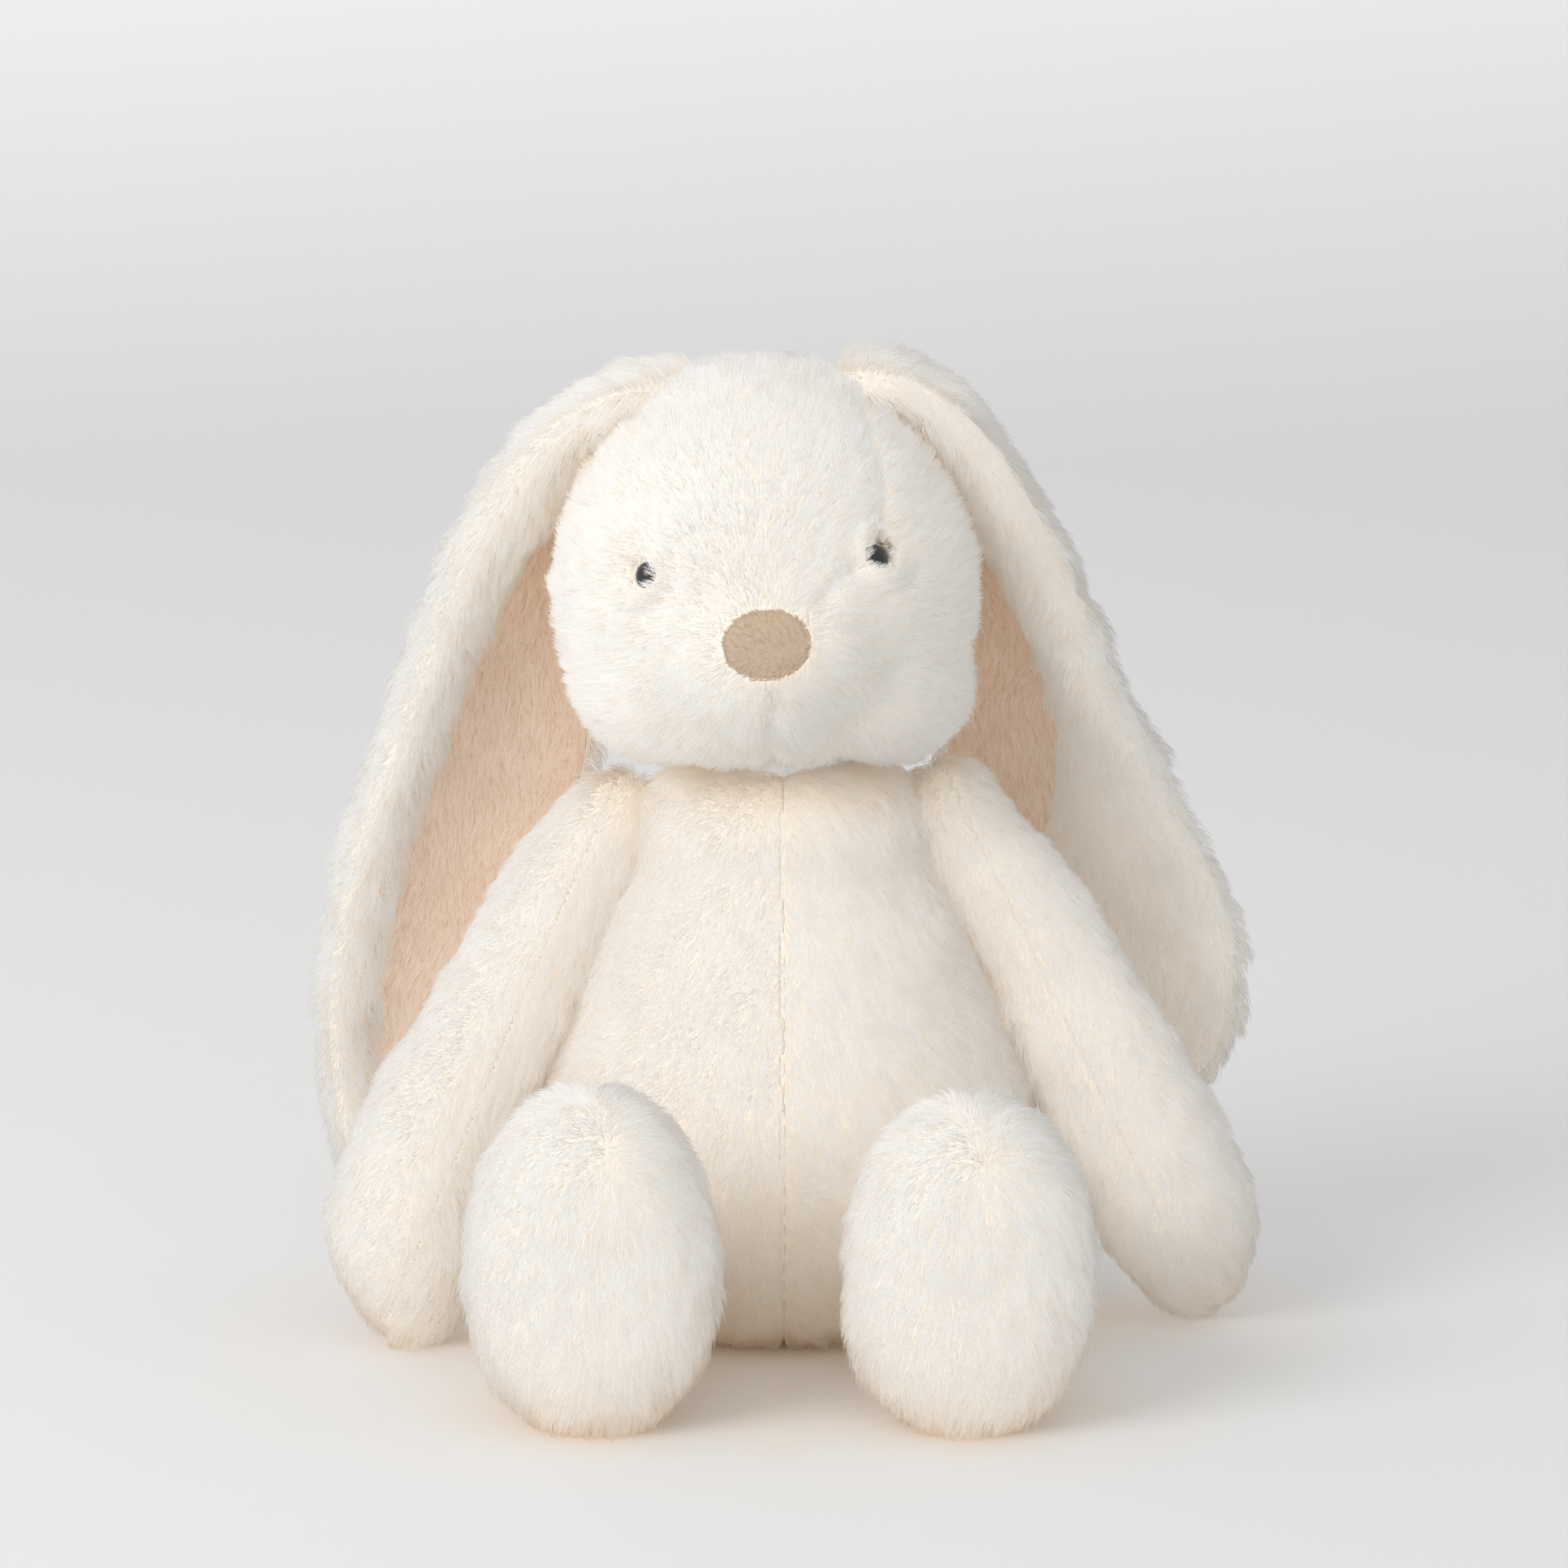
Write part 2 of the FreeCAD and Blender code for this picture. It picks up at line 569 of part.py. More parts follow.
def make_legs():
    half_gap = SEAM_GAP / 2.0
    for side, sign in SIDES.items():
        shell = leg_solid(side, 0.0).cut(leg_solid(side, CLOTH))
        ahead = block((-FAR, -FAR, -FAR), (FAR, SOLE_Y - half_gap, FAR))
        add("foot_sole_" + side, shell.common(ahead))
        sleeve = shell.common(block((-FAR, SOLE_Y + half_gap, -FAR), (FAR, FAR, FAR)))
        centre = LEG_X[side]
        high = block((centre + half_gap, -FAR, -FAR), (centre + FAR, FAR, FAR))
        low = block((centre - FAR, -FAR, -FAR), (centre - half_gap, FAR, FAR))
        outside, inside = (high, low) if sign > 0 else (low, high)
        add("leg_outer_" + side, sleeve.common(outside))
        add("leg_inner_" + side, sleeve.common(inside))
        add("leg_stuffing_" + side, leg_solid(side, CLOTH + FILL_GAP))
        middle = leg_solid(side, CLOTH / 2.0)
        ring = []
        for angle in closed_round(SOLE_STITCHES):
            direction = Vector(math.cos(angle), 0, math.sin(angle))
            ring.append(surface_point(middle, Vector(centre, SOLE_Y, FOOT_MIDDLE[side]), direction))
        add_stitches("sole_stitches_" + side, stitch_row(ring))


def main():
    make_body()
    make_tail()
    make_label()
    make_head()
    make_ears()
    make_arms()
    make_legs()
    os.makedirs("parts", exist_ok=True)
    for name, shape in NODES.items():
        shape.exportStep("parts/%s.step" % name)


main()
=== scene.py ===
import json
import math

import bpy
import numpy as np
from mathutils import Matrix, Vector
from mathutils.bvhtree import BVHTree


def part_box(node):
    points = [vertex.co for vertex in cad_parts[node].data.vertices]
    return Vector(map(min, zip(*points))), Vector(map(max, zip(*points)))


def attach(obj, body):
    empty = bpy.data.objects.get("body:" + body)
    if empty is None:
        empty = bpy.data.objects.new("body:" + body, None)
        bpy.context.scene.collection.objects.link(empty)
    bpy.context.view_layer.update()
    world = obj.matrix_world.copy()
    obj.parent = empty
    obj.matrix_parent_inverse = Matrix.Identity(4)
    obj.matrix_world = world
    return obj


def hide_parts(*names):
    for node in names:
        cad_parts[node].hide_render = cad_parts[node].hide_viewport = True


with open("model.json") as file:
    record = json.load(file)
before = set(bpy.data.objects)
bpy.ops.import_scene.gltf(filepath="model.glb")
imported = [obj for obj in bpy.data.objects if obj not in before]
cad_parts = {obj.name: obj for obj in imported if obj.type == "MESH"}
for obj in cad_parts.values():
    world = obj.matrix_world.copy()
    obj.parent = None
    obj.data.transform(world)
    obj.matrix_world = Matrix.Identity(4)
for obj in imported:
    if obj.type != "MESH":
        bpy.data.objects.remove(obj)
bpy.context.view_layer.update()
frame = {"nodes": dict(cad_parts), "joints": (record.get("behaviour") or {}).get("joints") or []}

# A seated plush rabbit.  Shapes are worked out in millimetres and built in metres.
MM = 0.001
SIDES = {"right": -1.0, "left": 1.0}

DOWN = np.array([0.0, 0.0, -1.0])
BACKWARD = np.array([0.0, 1.0, 0.0])

# Camera: aimed at the middle of the toy from slightly above
CAMERA_DISTANCE = 1700.0
CAMERA_TILT = math.radians(10.0)
CAMERA_AIM = Vector((0.0, 0.0, 164.3))
CAMERA_LENS = 129.3

# Sewn skins
VOXEL = 4.0                 # mesh size before subdivision
PUFF = 2.1                  # how far the filling pushes a panel out of the plain solid
SEAM_HOLD = 1.45            # the same along a seam
SEAM_WIDTH = 3.0
SEAM_REACH = 9.0            # panels further off than this don't count
CLOTH_THICKNESS = 1.0
CLOTH_FRAMES = 18
PINNED = 0.3                # seam weight above which the cloth is held
CLOTH_SETTINGS = {
    "quality": 4, "mass": 0.3, "tension_stiffness": 12.0, "compression_stiffness": 12.0,
    "shear_stiffness": 4.0, "bending_stiffness": 0.4, "use_pressure": True,
    "uniform_pressure_force": 4.0, "vertex_group_mass": "seams",
}

# Painted warm bounce light in hollows, standing for light passed from pile to pile
HOLLOW_SAMPLES = 2
HOLLOW_REACH = 0.05
HOLLOW_BOUNCE_TINT = (1.16, 0.91, 0.66)
HOLLOW_DEEP = 0.1           # share of open sky at which the tone is full
HOLLOW_OPEN = 0.62          # and at which it has gone


# ---------------------------------------------------------------- noise

def hashed(cells, seed):
    """A repeatable value from 0 to 1 for each row of whole numbers."""
    part = cells.astype(np.int64).astype(np.uint64)
    mixed = part[..., 0] * np.uint64(73856093)
    mixed = mixed ^ (part[..., 1] * np.uint64(19349663))
    mixed = mixed ^ (part[..., 2] * np.uint64(83492791))
    mixed = (mixed + np.uint64(seed * 7919 + 12345)) * np.uint64(0x9E3779B97F4A7C15)
    mixed = mixed ^ (mixed >> np.uint64(29))
    mixed = mixed * np.uint64(0xBF58476D1CE4E5B9)
    mixed = mixed ^ (mixed >> np.uint64(32))
    return (mixed & np.uint64(0xFFFFFF)).astype(float) / float(0xFFFFFF)


def noise(points, size, seed):
    """Smooth noise from -1 to 1 whose bumps are about one size across."""
    scaled = points / size
    low = np.floor(scaled)
    share = scaled - low
    share = share * share * (3.0 - 2.0 * share)
    total = np.zeros(len(points))
    for corner in np.ndindex(2, 2, 2):
        weight = np.ones(len(points))
        for axis in range(3):
            weight *= share[:, axis] if corner[axis] else 1.0 - share[:, axis]
        total += weight * hashed(low + np.array(corner), seed)
    return total * 2.0 - 1.0


def noise_vectors(points, size, seed):
    return np.stack([noise(points, size, seed + axis) for axis in range(3)], axis=1)


def tuft_centres(points, size, seed):
    """The nearest of one scattered point per cell, for each point."""
    base = np.floor(points / size)
    best = np.full(len(points), np.inf)
    nearest = points.copy()
    for offset in np.ndindex(3, 3, 3):
        cell = base + np.array(offset) - 1.0
        jitter = np.stack([hashed(cell, seed + axis) for axis in range(3)], axis=1)
        centre = (cell + jitter) * size
        distance = np.sum((centre - points) ** 2, axis=1)
        closer = distance < best
        best[closer] = distance[closer]
        nearest[closer] = centre[closer]
    return nearest


def unit(vectors):
    return vectors / np.maximum(np.linalg.norm(vectors, axis=-1, keepdims=True), 1e-9)


def flattened(directions, normals):
    """The part of each direction that lies in the surface, at unit length."""
    along = directions - normals * np.sum(directions * normals, axis=1, keepdims=True)
    return unit(along)


def streaks(points, along, size, seed, steps=3):
    """Noise drawn out along a direction, like combed pile."""
    total = np.zeros(len(points))
    for step in range(-steps, steps + 1):
        total += noise(points + along * (step * size * 0.8), size, seed)
    return total / (steps + 1.5)


def smooth_step(values, low, high):
    share = np.clip((values - low) / (high - low), 0.0, 1.0)
    return share * share * (3.0 - 2.0 * share)


# ---------------------------------------------------------------- meshes

class Skin:
    """A quad mesh held as arrays in millimetres, with normals kept up to date."""

    def __init__(self, points, faces):
        self.points = np.array(points, float)
        self.faces = np.array(faces, int)
        self.refresh()

    def refresh(self):
        corners = self.points[self.faces]
        across = corners[:, 2] - corners[:, 0]
        other = corners[:, 3] - corners[:, 1]
        face_normals = np.cross(across, other)
        normals = np.zeros_like(self.points)
        for corner in range(4):
            np.add.at(normals, self.faces[:, corner], face_normals)
        self.normals = unit(normals)

    def push(self, amounts):
        self.points = self.points + self.normals * np.asarray(amounts)[:, None]
        self.refresh()

    def neighbours_mean(self):
        total = np.zeros_like(self.points)
        count = np.zeros(len(self.points))
        for first, second in ((0, 1), (1, 2), (2, 3), (3, 0)):
            start = self.faces[:, first]
            end = self.faces[:, second]
            np.add.at(total, start, self.points[end])
            np.add.at(total, end, self.points[start])
            np.add.at(count, start, 1)
            np.add.at(count, end, 1)
        return total / np.maximum(count, 1)[:, None]

    def smooth(self, share, times):
        for _ in range(times):
            self.points = self.points * (1.0 - share) + self.neighbours_mean() * share
        self.refresh()


def mesh_object(name, points, faces):
    mesh = bpy.data.meshes.new(name)
    mesh.from_pydata((np.asarray(points) * MM).tolist(), [], [list(face) for face in faces])
    mesh.validate()
    mesh.polygons.foreach_set("use_smooth", np.ones(len(mesh.polygons), bool))
    mesh.update()
    piece = bpy.data.objects.new(name, mesh)
    bpy.context.scene.collection.objects.link(piece)
    return piece


def node_arrays(name):
    """Points in millimetres and triangles of a CAD node."""
    mesh = frame["nodes"][name].data
    points = np.zeros(len(mesh.vertices) * 3)
    mesh.vertices.foreach_get("co", points)
    mesh.calc_loop_triangles()
    triangles = np.zeros(len(mesh.loop_triangles) * 3, int)
    mesh.loop_triangles.foreach_get("vertices", triangles)
    return points.reshape(-1, 3) / MM, triangles.reshape(-1, 3)


def node_tree(name):
    points, triangles = node_arrays(name)
    return BVHTree.FromPolygons(points.tolist(), triangles.tolist())


def node_middle(name):
    low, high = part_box(name)
    return np.array((low + high) / 2.0) / MM


def evaluated_arrays(piece):
    """Points in millimetres and quads of an object with its modifiers."""
    graph = bpy.context.evaluated_depsgraph_get()
    mesh = bpy.data.meshes.new_from_object(piece.evaluated_get(graph))
    points = np.zeros(len(mesh.vertices) * 3)
    mesh.vertices.foreach_get("co", points)
    faces = [list(face.vertices) for face in mesh.polygons]
    bpy.data.meshes.remove(mesh)
    return points.reshape(-1, 3) / MM, faces


def outer_island(points, faces):
    """Only the connected part of a mesh with the most faces."""
    faces = np.array(faces)
    label = np.arange(len(points))
    while True:
        lowest = label.copy()
        for corner in range(4):
            for other in range(4):
                np.minimum.at(lowest, faces[:, corner], label[faces[:, other]])
        lowest = lowest[lowest]
        if np.array_equal(lowest, label):
            break
        label = lowest
    kept_label = np.bincount(label[faces[:, 0]]).argmax()
    kept_faces = faces[label[faces[:, 0]] == kept_label]
    used, renumbered = np.unique(kept_faces, return_inverse=True)
    return points[used], renumbered.reshape(-1, 4)


def remeshed(node, voxel):
    """The outside of a CAD solid as an even quad mesh."""
    source = frame["nodes"][node]
    copy = bpy.data.objects.new("remesh_" + node, source.data.copy())
    bpy.context.scene.collection.objects.link(copy)
    remesh = copy.modifiers.new("voxels", "REMESH")
    remesh.mode = "VOXEL"
    remesh.voxel_size = voxel * MM
    points, faces = evaluated_arrays(copy)
    bpy.data.objects.remove(copy)
    points, faces = outer_island(points, faces)
    return Skin(points, faces)


def subdivided(skin, levels):
    piece = mesh_object("subdivide", skin.points, skin.faces)
    divide = piece.modifiers.new("divide", "SUBSURF")
    divide.levels = levels
    points, faces = evaluated_arrays(piece)
    bpy.data.objects.remove(piece)
    return Skin(points, faces)


def panel_distances(points, trees, reach):
    """The distance from each point to each CAD panel, up to a reach."""
    distances = np.full((len(points), len(trees)), reach)
    for index, point in enumerate(points.tolist()):
        for column, tree in enumerate(trees):
            found = tree.find_nearest(point, reach)[3]
            if found is not None:
                distances[index, column] = found
    return distances


def seam_distances(points, trees, reach=SEAM_REACH):
    """The nearest panel of each point, and its distance from the nearest seam line."""
    distances = panel_distances(points, trees, reach)
    owner = distances.argmin(axis=1)
    ordered = np.sort(distances, axis=1)
    if len(trees) == 1:
        return owner, np.full(len(points), reach)
    return owner, np.sqrt(np.maximum(ordered[:, 1] ** 2 - ordered[:, 0] ** 2, 0.0))


def inflated(skin, seam, name):
    """Blow the skin up like a filled cover whose seams are held back."""
    start = skin.points.copy()
    held = np.exp(-(seam / SEAM_WIDTH) ** 2)
    target = PUFF + (SEAM_HOLD - PUFF) * held
    skin.push(np.full(len(start), SEAM_HOLD))
    piece = mesh_object(name, skin.points, skin.faces)
    pins = piece.vertex_groups.new(name="seams")
    for index, weight in enumerate(held.tolist()):
        if weight > PINNED:
            pins.add([index], min(1.0, weight * 1.5), "REPLACE")
    cloth = piece.modifiers.new("cloth", "CLOTH")
    settings = cloth.settings
    for setting, value in CLOTH_SETTINGS.items():
        setattr(settings, setting, value)
    settings.effector_weights.gravity = 0.0
    cloth.point_cache.frame_start = 1
    cloth.point_cache.frame_end = CLOTH_FRAMES
    for moment in range(1, CLOTH_FRAMES + 1):
        bpy.context.scene.frame_set(moment)
    points, faces = evaluated_arrays(piece)
    bpy.data.objects.remove(piece)
    bpy.context.scene.frame_set(1)
    moved = points - start
    length = np.linalg.norm(moved, axis=1)
    moved *= (np.minimum(length, target) / np.maximum(length, 1e-9))[:, None]
    return Skin(start + moved, skin.faces)


def thickened(skin, chosen, thickness=CLOTH_THICKNESS):
    """The chosen faces of a skin as a closed sheet of cloth with an inside and an edge."""
    faces = skin.faces[chosen]
    used, renumbered = np.unique(faces, return_inverse=True)
    outside = renumbered.reshape(-1, 4)
    count = len(used)
    outer = skin.points[used]
    inner = outer - skin.normals[used] * thickness
    edges = np.concatenate([outside[:, [corner, (corner + 1) % 4]] for corner in range(4)])
    known = {tuple(edge) for edge in edges.tolist()}
    rim = [(a, b) for a, b in known if (b, a) not in known]
    sides = [[b, a, a + count, b + count] for a, b in rim]
    every = outside.tolist() + (outside[:, ::-1] + count).tolist() + sides
    return np.concatenate([outer, inner]), every


# ---------------------------------------------------------------- materials

def ramp_node(nodes, colours):
    ramp = nodes.new("ShaderNodeValToRGB")
    elements = ramp.color_ramp.elements
    while len(elements) < len(colours):
        elements.new(0.5)
    for element, (place, colour) in zip(elements, colours):
        element.position = place
        element.color = (*colour, 1.0)
    return ramp


def new_material(name):
    material = bpy.data.materials.new(name)
    material.use_nodes = True
    nodes = material.node_tree.nodes
    return material, nodes, material.node_tree.links, nodes["Principled BSDF"]


def noise_node(nodes, links, scale, detail, stretch=(1.0, 1.0, 1.0)):
    place = nodes.new("ShaderNodeTexCoord")
    mapping = nodes.new("ShaderNodeMapping")
    mapping.inputs["Scale"].default_value = stretch
    texture = nodes.new("ShaderNodeTexNoise")
    texture.inputs["Scale"].default_value = scale
    texture.inputs["Detail"].default_value = detail
    links.new(place.outputs["Object"], mapping.inputs["Vector"])
    links.new(mapping.outputs["Vector"], texture.inputs["Vector"])
    return texture


def pile_material(name, dark, light, scale, stretch):
    """Close pile as seen between and under the fibres."""
    material, nodes, links, surface = new_material(name)
    broad = noise_node(nodes, links, 60.0, 3.0)
    fine = noise_node(nodes, links, scale, 6.0, stretch)
    mixed = nodes.new("ShaderNodeMix")
    mixed.inputs["Factor"].default_value = 0.65
    links.new(broad.outputs["Fac"], mixed.inputs["A"])
    links.new(fine.outputs["Fac"], mixed.inputs["B"])
    ramp = ramp_node(nodes, [(0.3, dark), (0.62, light)])
    links.new(mixed.outputs["Result"], ramp.inputs["Fac"])
    links.new(ramp.outputs["Color"], surface.inputs["Base Color"])
    bump = nodes.new("ShaderNodeBump")
    bump.inputs["Strength"].default_value = 0.6
    bump.inputs["Distance"].default_value = 0.0008
    links.new(fine.outputs["Fac"], bump.inputs["Height"])
    links.new(bump.outputs["Normal"], surface.inputs["Normal"])
    surface.inputs["Roughness"].default_value = 0.95
    surface.inputs["Specular IOR Level"].default_value = 0.1
    surface.inputs["Sheen Weight"].default_value = 0.4
    surface.inputs["Sheen Roughness"].default_value = 0.5
    return material


def with_painted_bounce(nodes, links, colour):
    """The colour with painted warm bounce light in hollows, standing for light passed from pile to pile."""
    # painted bounce light: occluded places get a warmer, more saturated colour
    hollow = nodes.new("ShaderNodeAmbientOcclusion")
    hollow.samples = HOLLOW_SAMPLES
    hollow.inputs["Distance"].default_value = HOLLOW_REACH
    tone = ramp_node(nodes, [(HOLLOW_DEEP, HOLLOW_BOUNCE_TINT), (HOLLOW_OPEN, (1.0, 1.0, 1.0))])
    links.new(hollow.outputs["AO"], tone.inputs["Fac"])
    product = nodes.new("ShaderNodeVectorMath")
    product.operation = "MULTIPLY"
    links.new(colour, product.inputs[0])
    links.new(tone.outputs["Color"], product.inputs[1])
    return product.outputs["Vector"]


def fibre_material(name, root, middle, tip):
    """Pile fibres: darker and warmer at the root as painted shade deep in the pile, paler at the tip, lit
    mostly by the form they stand on.
    """
    material, nodes, links, surface = new_material(name)
    strand = nodes.new("ShaderNodeHairInfo")
    # painted shade: darker, warmer roots stand for shadow deep in the pile, since the fibres cast no shadows
    ramp = ramp_node(nodes, [(0.0, root), (0.45, middle), (1.0, tip)])
    links.new(strand.outputs["Intercept"], ramp.inputs["Fac"])
    tint = nodes.new("ShaderNodeAttribute")
    tint.attribute_name = "tint"
    level = nodes.new("ShaderNodeMapRange")
    level.inputs["To Min"].default_value = 0.93
    level.inputs["To Max"].default_value = 1.04
    links.new(tint.outputs["Fac"], level.inputs["Value"])
    shade = nodes.new("ShaderNodeVectorMath")
    shade.operation = "SCALE"
    links.new(ramp.outputs["Color"], shade.inputs[0])
    links.new(level.outputs["Result"], shade.inputs["Scale"])
    links.new(with_painted_bounce(nodes, links, shade.outputs["Vector"]), surface.inputs["Base Color"])
    form = nodes.new("ShaderNodeAttribute")
    form.attribute_name = "skin_normal"
    turn = nodes.new("ShaderNodeVectorTransform")
    turn.vector_type = "NORMAL"
    turn.convert_from = "OBJECT"
    turn.convert_to = "WORLD"
    links.new(form.outputs["Vector"], turn.inputs["Vector"])
    strand_side = nodes.new("ShaderNodeNewGeometry")
    both = nodes.new("ShaderNodeVectorMath")
    both.operation = "ADD"
    links.new(turn.outputs["Vector"], both.inputs[0])
    links.new(strand_side.outputs["Normal"], both.inputs[1])
    whole = nodes.new("ShaderNodeVectorMath")
    whole.operation = "NORMALIZE"
    links.new(both.outputs["Vector"], whole.inputs[0])
    links.new(whole.outputs["Vector"], surface.inputs["Normal"])
    surface.inputs["Roughness"].default_value = 0.8
    surface.inputs["Specular IOR Level"].default_value = 0.15
    return material


def plain_material(name, dark, light, roughness, scale, bump_height, coat=0.0):
    material, nodes, links, surface = new_material(name)
    texture = noise_node(nodes, links, scale, 4.0)
    ramp = ramp_node(nodes, [(0.35, dark), (0.65, light)])
    links.new(texture.outputs["Fac"], ramp.inputs["Fac"])
    links.new(ramp.outputs["Color"], surface.inputs["Base Color"])
    bump = nodes.new("ShaderNodeBump")
    bump.inputs["Strength"].default_value = 0.3
    bump.inputs["Distance"].default_value = bump_height
    links.new(texture.outputs["Fac"], bump.inputs["Height"])
    links.new(bump.outputs["Normal"], surface.inputs["Normal"])
    surface.inputs["Roughness"].default_value = roughness
    surface.inputs["Coat Weight"].default_value = coat
    surface.inputs["Coat Roughness"].default_value = 0.05
    return material


CREAM_PILE = pile_material("cream_pile", (0.84, 0.74, 0.62), (0.94, 0.86, 0.75), 900.0, (1.0, 1.0, 0.3))
LINING_PILE = pile_material("lining_pile", (0.66, 0.45, 0.33), (0.84, 0.65, 0.52), 1300.0, (1.0, 1.0, 0.4))
NOSE_PILE = pile_material("nose_pile", (0.34, 0.24, 0.16), (0.52, 0.39, 0.28), 1600.0, (1.0, 1.0, 0.5))
# Fibre root colours are darker and warmer than the tips as painted shade inside the pile
CREAM_FIBRE = fibre_material("cream_fibre", (0.85, 0.79, 0.71), (0.87, 0.85, 0.81), (0.87, 0.865, 0.845))
LINING_FIBRE = fibre_material("lining_fibre", (0.72, 0.54, 0.42), (0.84, 0.71, 0.60), (0.88, 0.79, 0.70))
NOSE_FIBRE = fibre_material("nose_fibre", (0.36, 0.26, 0.18), (0.52, 0.39, 0.28), (0.63, 0.50, 0.38))
EYE_PLASTIC = plain_material("eye_plastic", (0.006, 0.005, 0.005), (0.012, 0.010, 0.009), 0.3, 300.0, 0.00001,
                             coat=0.25)
WASHER_PLASTIC = plain_material("washer_plastic", (0.70, 0.69, 0.66), (0.80, 0.79, 0.76), 0.5, 400.0, 0.00005)
FILLING = plain_material("fibre_filling", (0.80, 0.80, 0.79), (0.92, 0.92, 0.91), 0.95, 500.0, 0.0008)
THREAD = plain_material("sewing_thread", (0.70, 0.58, 0.46), (0.84, 0.74, 0.62), 0.8, 2500.0, 0.0001)
POUCH_CLOTH = plain_material("pouch_cloth", (0.76, 0.75, 0.71), (0.88, 0.87, 0.84), 0.9, 1800.0, 0.0002)
BEANS = plain_material("bean_plastic", (0.62, 0.62, 0.60), (0.84, 0.84, 0.82), 0.4, 350.0, 0.001)
LABEL_TAPE = plain_material("label_tape", (0.82, 0.82, 0.80), (0.90, 0.90, 0.89), 0.45, 2200.0, 0.0001)


# ---------------------------------------------------------------- pile

def pile(name, skin, weight, body, material, count, reach, rise, comb, seed,
         tuft=3.6, gather=0.5, radius=0.075, length=None):
    """Fibres rooted on a skin: rise is how far they stand off it, reach how far they lie along it."""
    rng = np.random.default_rng(seed)
    triangles = np.concatenate([skin.faces[:, [0, 1, 2]], skin.faces[:, [0, 2, 3]]])
    corners = skin.points[triangles]
    area = np.linalg.norm(np.cross(corners[:, 1] - corners[:, 0], corners[:, 2] - corners[:, 0]), axis=1)
    chance = area * weight[triangles].mean(axis=1)
    running = np.cumsum(chance)
    picked = np.searchsorted(running, rng.random(count) * running[-1])
    first = np.sqrt(rng.random(count))
    second = rng.random(count)
    shares = np.stack([1.0 - first, first * (1.0 - second), first * second], axis=1)[:, :, None]
    chosen = triangles[picked]
    roots = np.sum(skin.points[chosen] * shares, axis=1)
    normals = unit(np.sum(skin.normals[chosen] * shares, axis=1))
    size = np.ones(count)
    if length is not None:
        size = np.sum(length[chosen][:, :, None] * shares, axis=1)[:, 0]
    along = flattened(comb(roots), normals)
    across = np.cross(normals, along)
    lean = noise(roots, 16.0, seed + 1) * 0.4 + noise(roots, 5.0, seed + 2) * 0.3
    along = unit(along + across * lean[:, None])
    size *= 1.0 + 0.22 * noise(roots, 6.0, seed + 3) + 0.18 * (rng.random(count) - 0.5)
    lift = rise * size * (1.0 + 0.35 * noise(roots, 9.0, seed + 4) + 0.5 * (rng.random(count) - 0.4))
    run = reach * size
    pull = tuft_centres(roots, tuft, seed + 5) - roots
    pull -= normals * np.sum(pull * normals, axis=1, keepdims=True)
    pull *= gather
    stray = rng.normal(0.0, 0.35, (count, 3)) * size[:, None]
    steps = [(0.0, 0.0, 0.0), (0.55, 0.2, 0.12), (0.9, 0.58, 0.5), (1.0, 1.0, 1.0)]
    points = np.zeros((count, len(steps), 3))
    for index, (up, forward, gathered) in enumerate(steps):
        points[:, index] = roots + normals * (lift * up)[:, None] + along * (run * forward)[:, None]
        points[:, index] += (pull + stray) * gathered
    curves = bpy.data.hair_curves.new(name)
    curves.add_curves([len(steps)] * count)
    curves.attributes["position"].data.foreach_set("vector", (points * MM).astype(np.float32).ravel())
    taper = np.array([1.0, 0.95, 0.7, 0.2]) * radius * MM
    widths = curves.attributes.get("radius") or curves.attributes.new("radius", "FLOAT", "POINT")
    widths.data.foreach_set("value", np.tile(taper, count).astype(np.float32))
    form = curves.attributes.new("skin_normal", "FLOAT_VECTOR", "CURVE")
    form.data.foreach_set("vector", unit(normals + along * 0.35).astype(np.float32).ravel())
    tint = curves.attributes.new("tint", "FLOAT", "CURVE")
    shades = 0.5 + 0.25 * noise(roots, 4.0, seed + 6) + 0.5 * (rng.random(count) - 0.5)
    tint.data.foreach_set("value", shades.astype(np.float32))
    curves.materials.append(material)
    strands = bpy.data.objects.new(name, curves)
    bpy.context.scene.collection.objects.link(strands)
    strands.visible_shadow = False
    strands.visible_diffuse = False
    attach(strands, body)


# ---------------------------------------------------------------- sewn parts

FIBRES_PER_MM2 = 2.2
NOSE_FIBRES = 6400
HEAD_FRONT = node_middle("nose_patch")


def face_areas(skin):
    corners = skin.points[skin.faces]
    across = corners[:, 2] - corners[:, 0]
    other = corners[:, 3] - corners[:, 1]
    return 0.5 * np.linalg.norm(np.cross(across, other), axis=1)


def relief(skin, comb, seam, seed, height=0.4):
    """Tufts and combed streaks in the surface itself, flatter along the seams."""
    along = flattened(comb(skin.points), skin.normals)
    streaked = streaks(skin.points, along, 1.7, seed)
    lumps = noise(skin.points, 4.5, seed + 11)
    calm = 0.35 + 0.65 * smooth_step(seam, 0.5, 4.0)
    skin.push(calm * (height * streaked + 0.6 * height * lumps))


def add_panel(name, skin, chosen, body, material):
    """One sewn panel cut from a skin, standing for the CAD node of the same name."""
    points, faces = thickened(skin, chosen)
    piece = mesh_object(name + "_pile", points, faces)
    piece.data.materials.append(material)
    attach(piece, body)
    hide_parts(name)


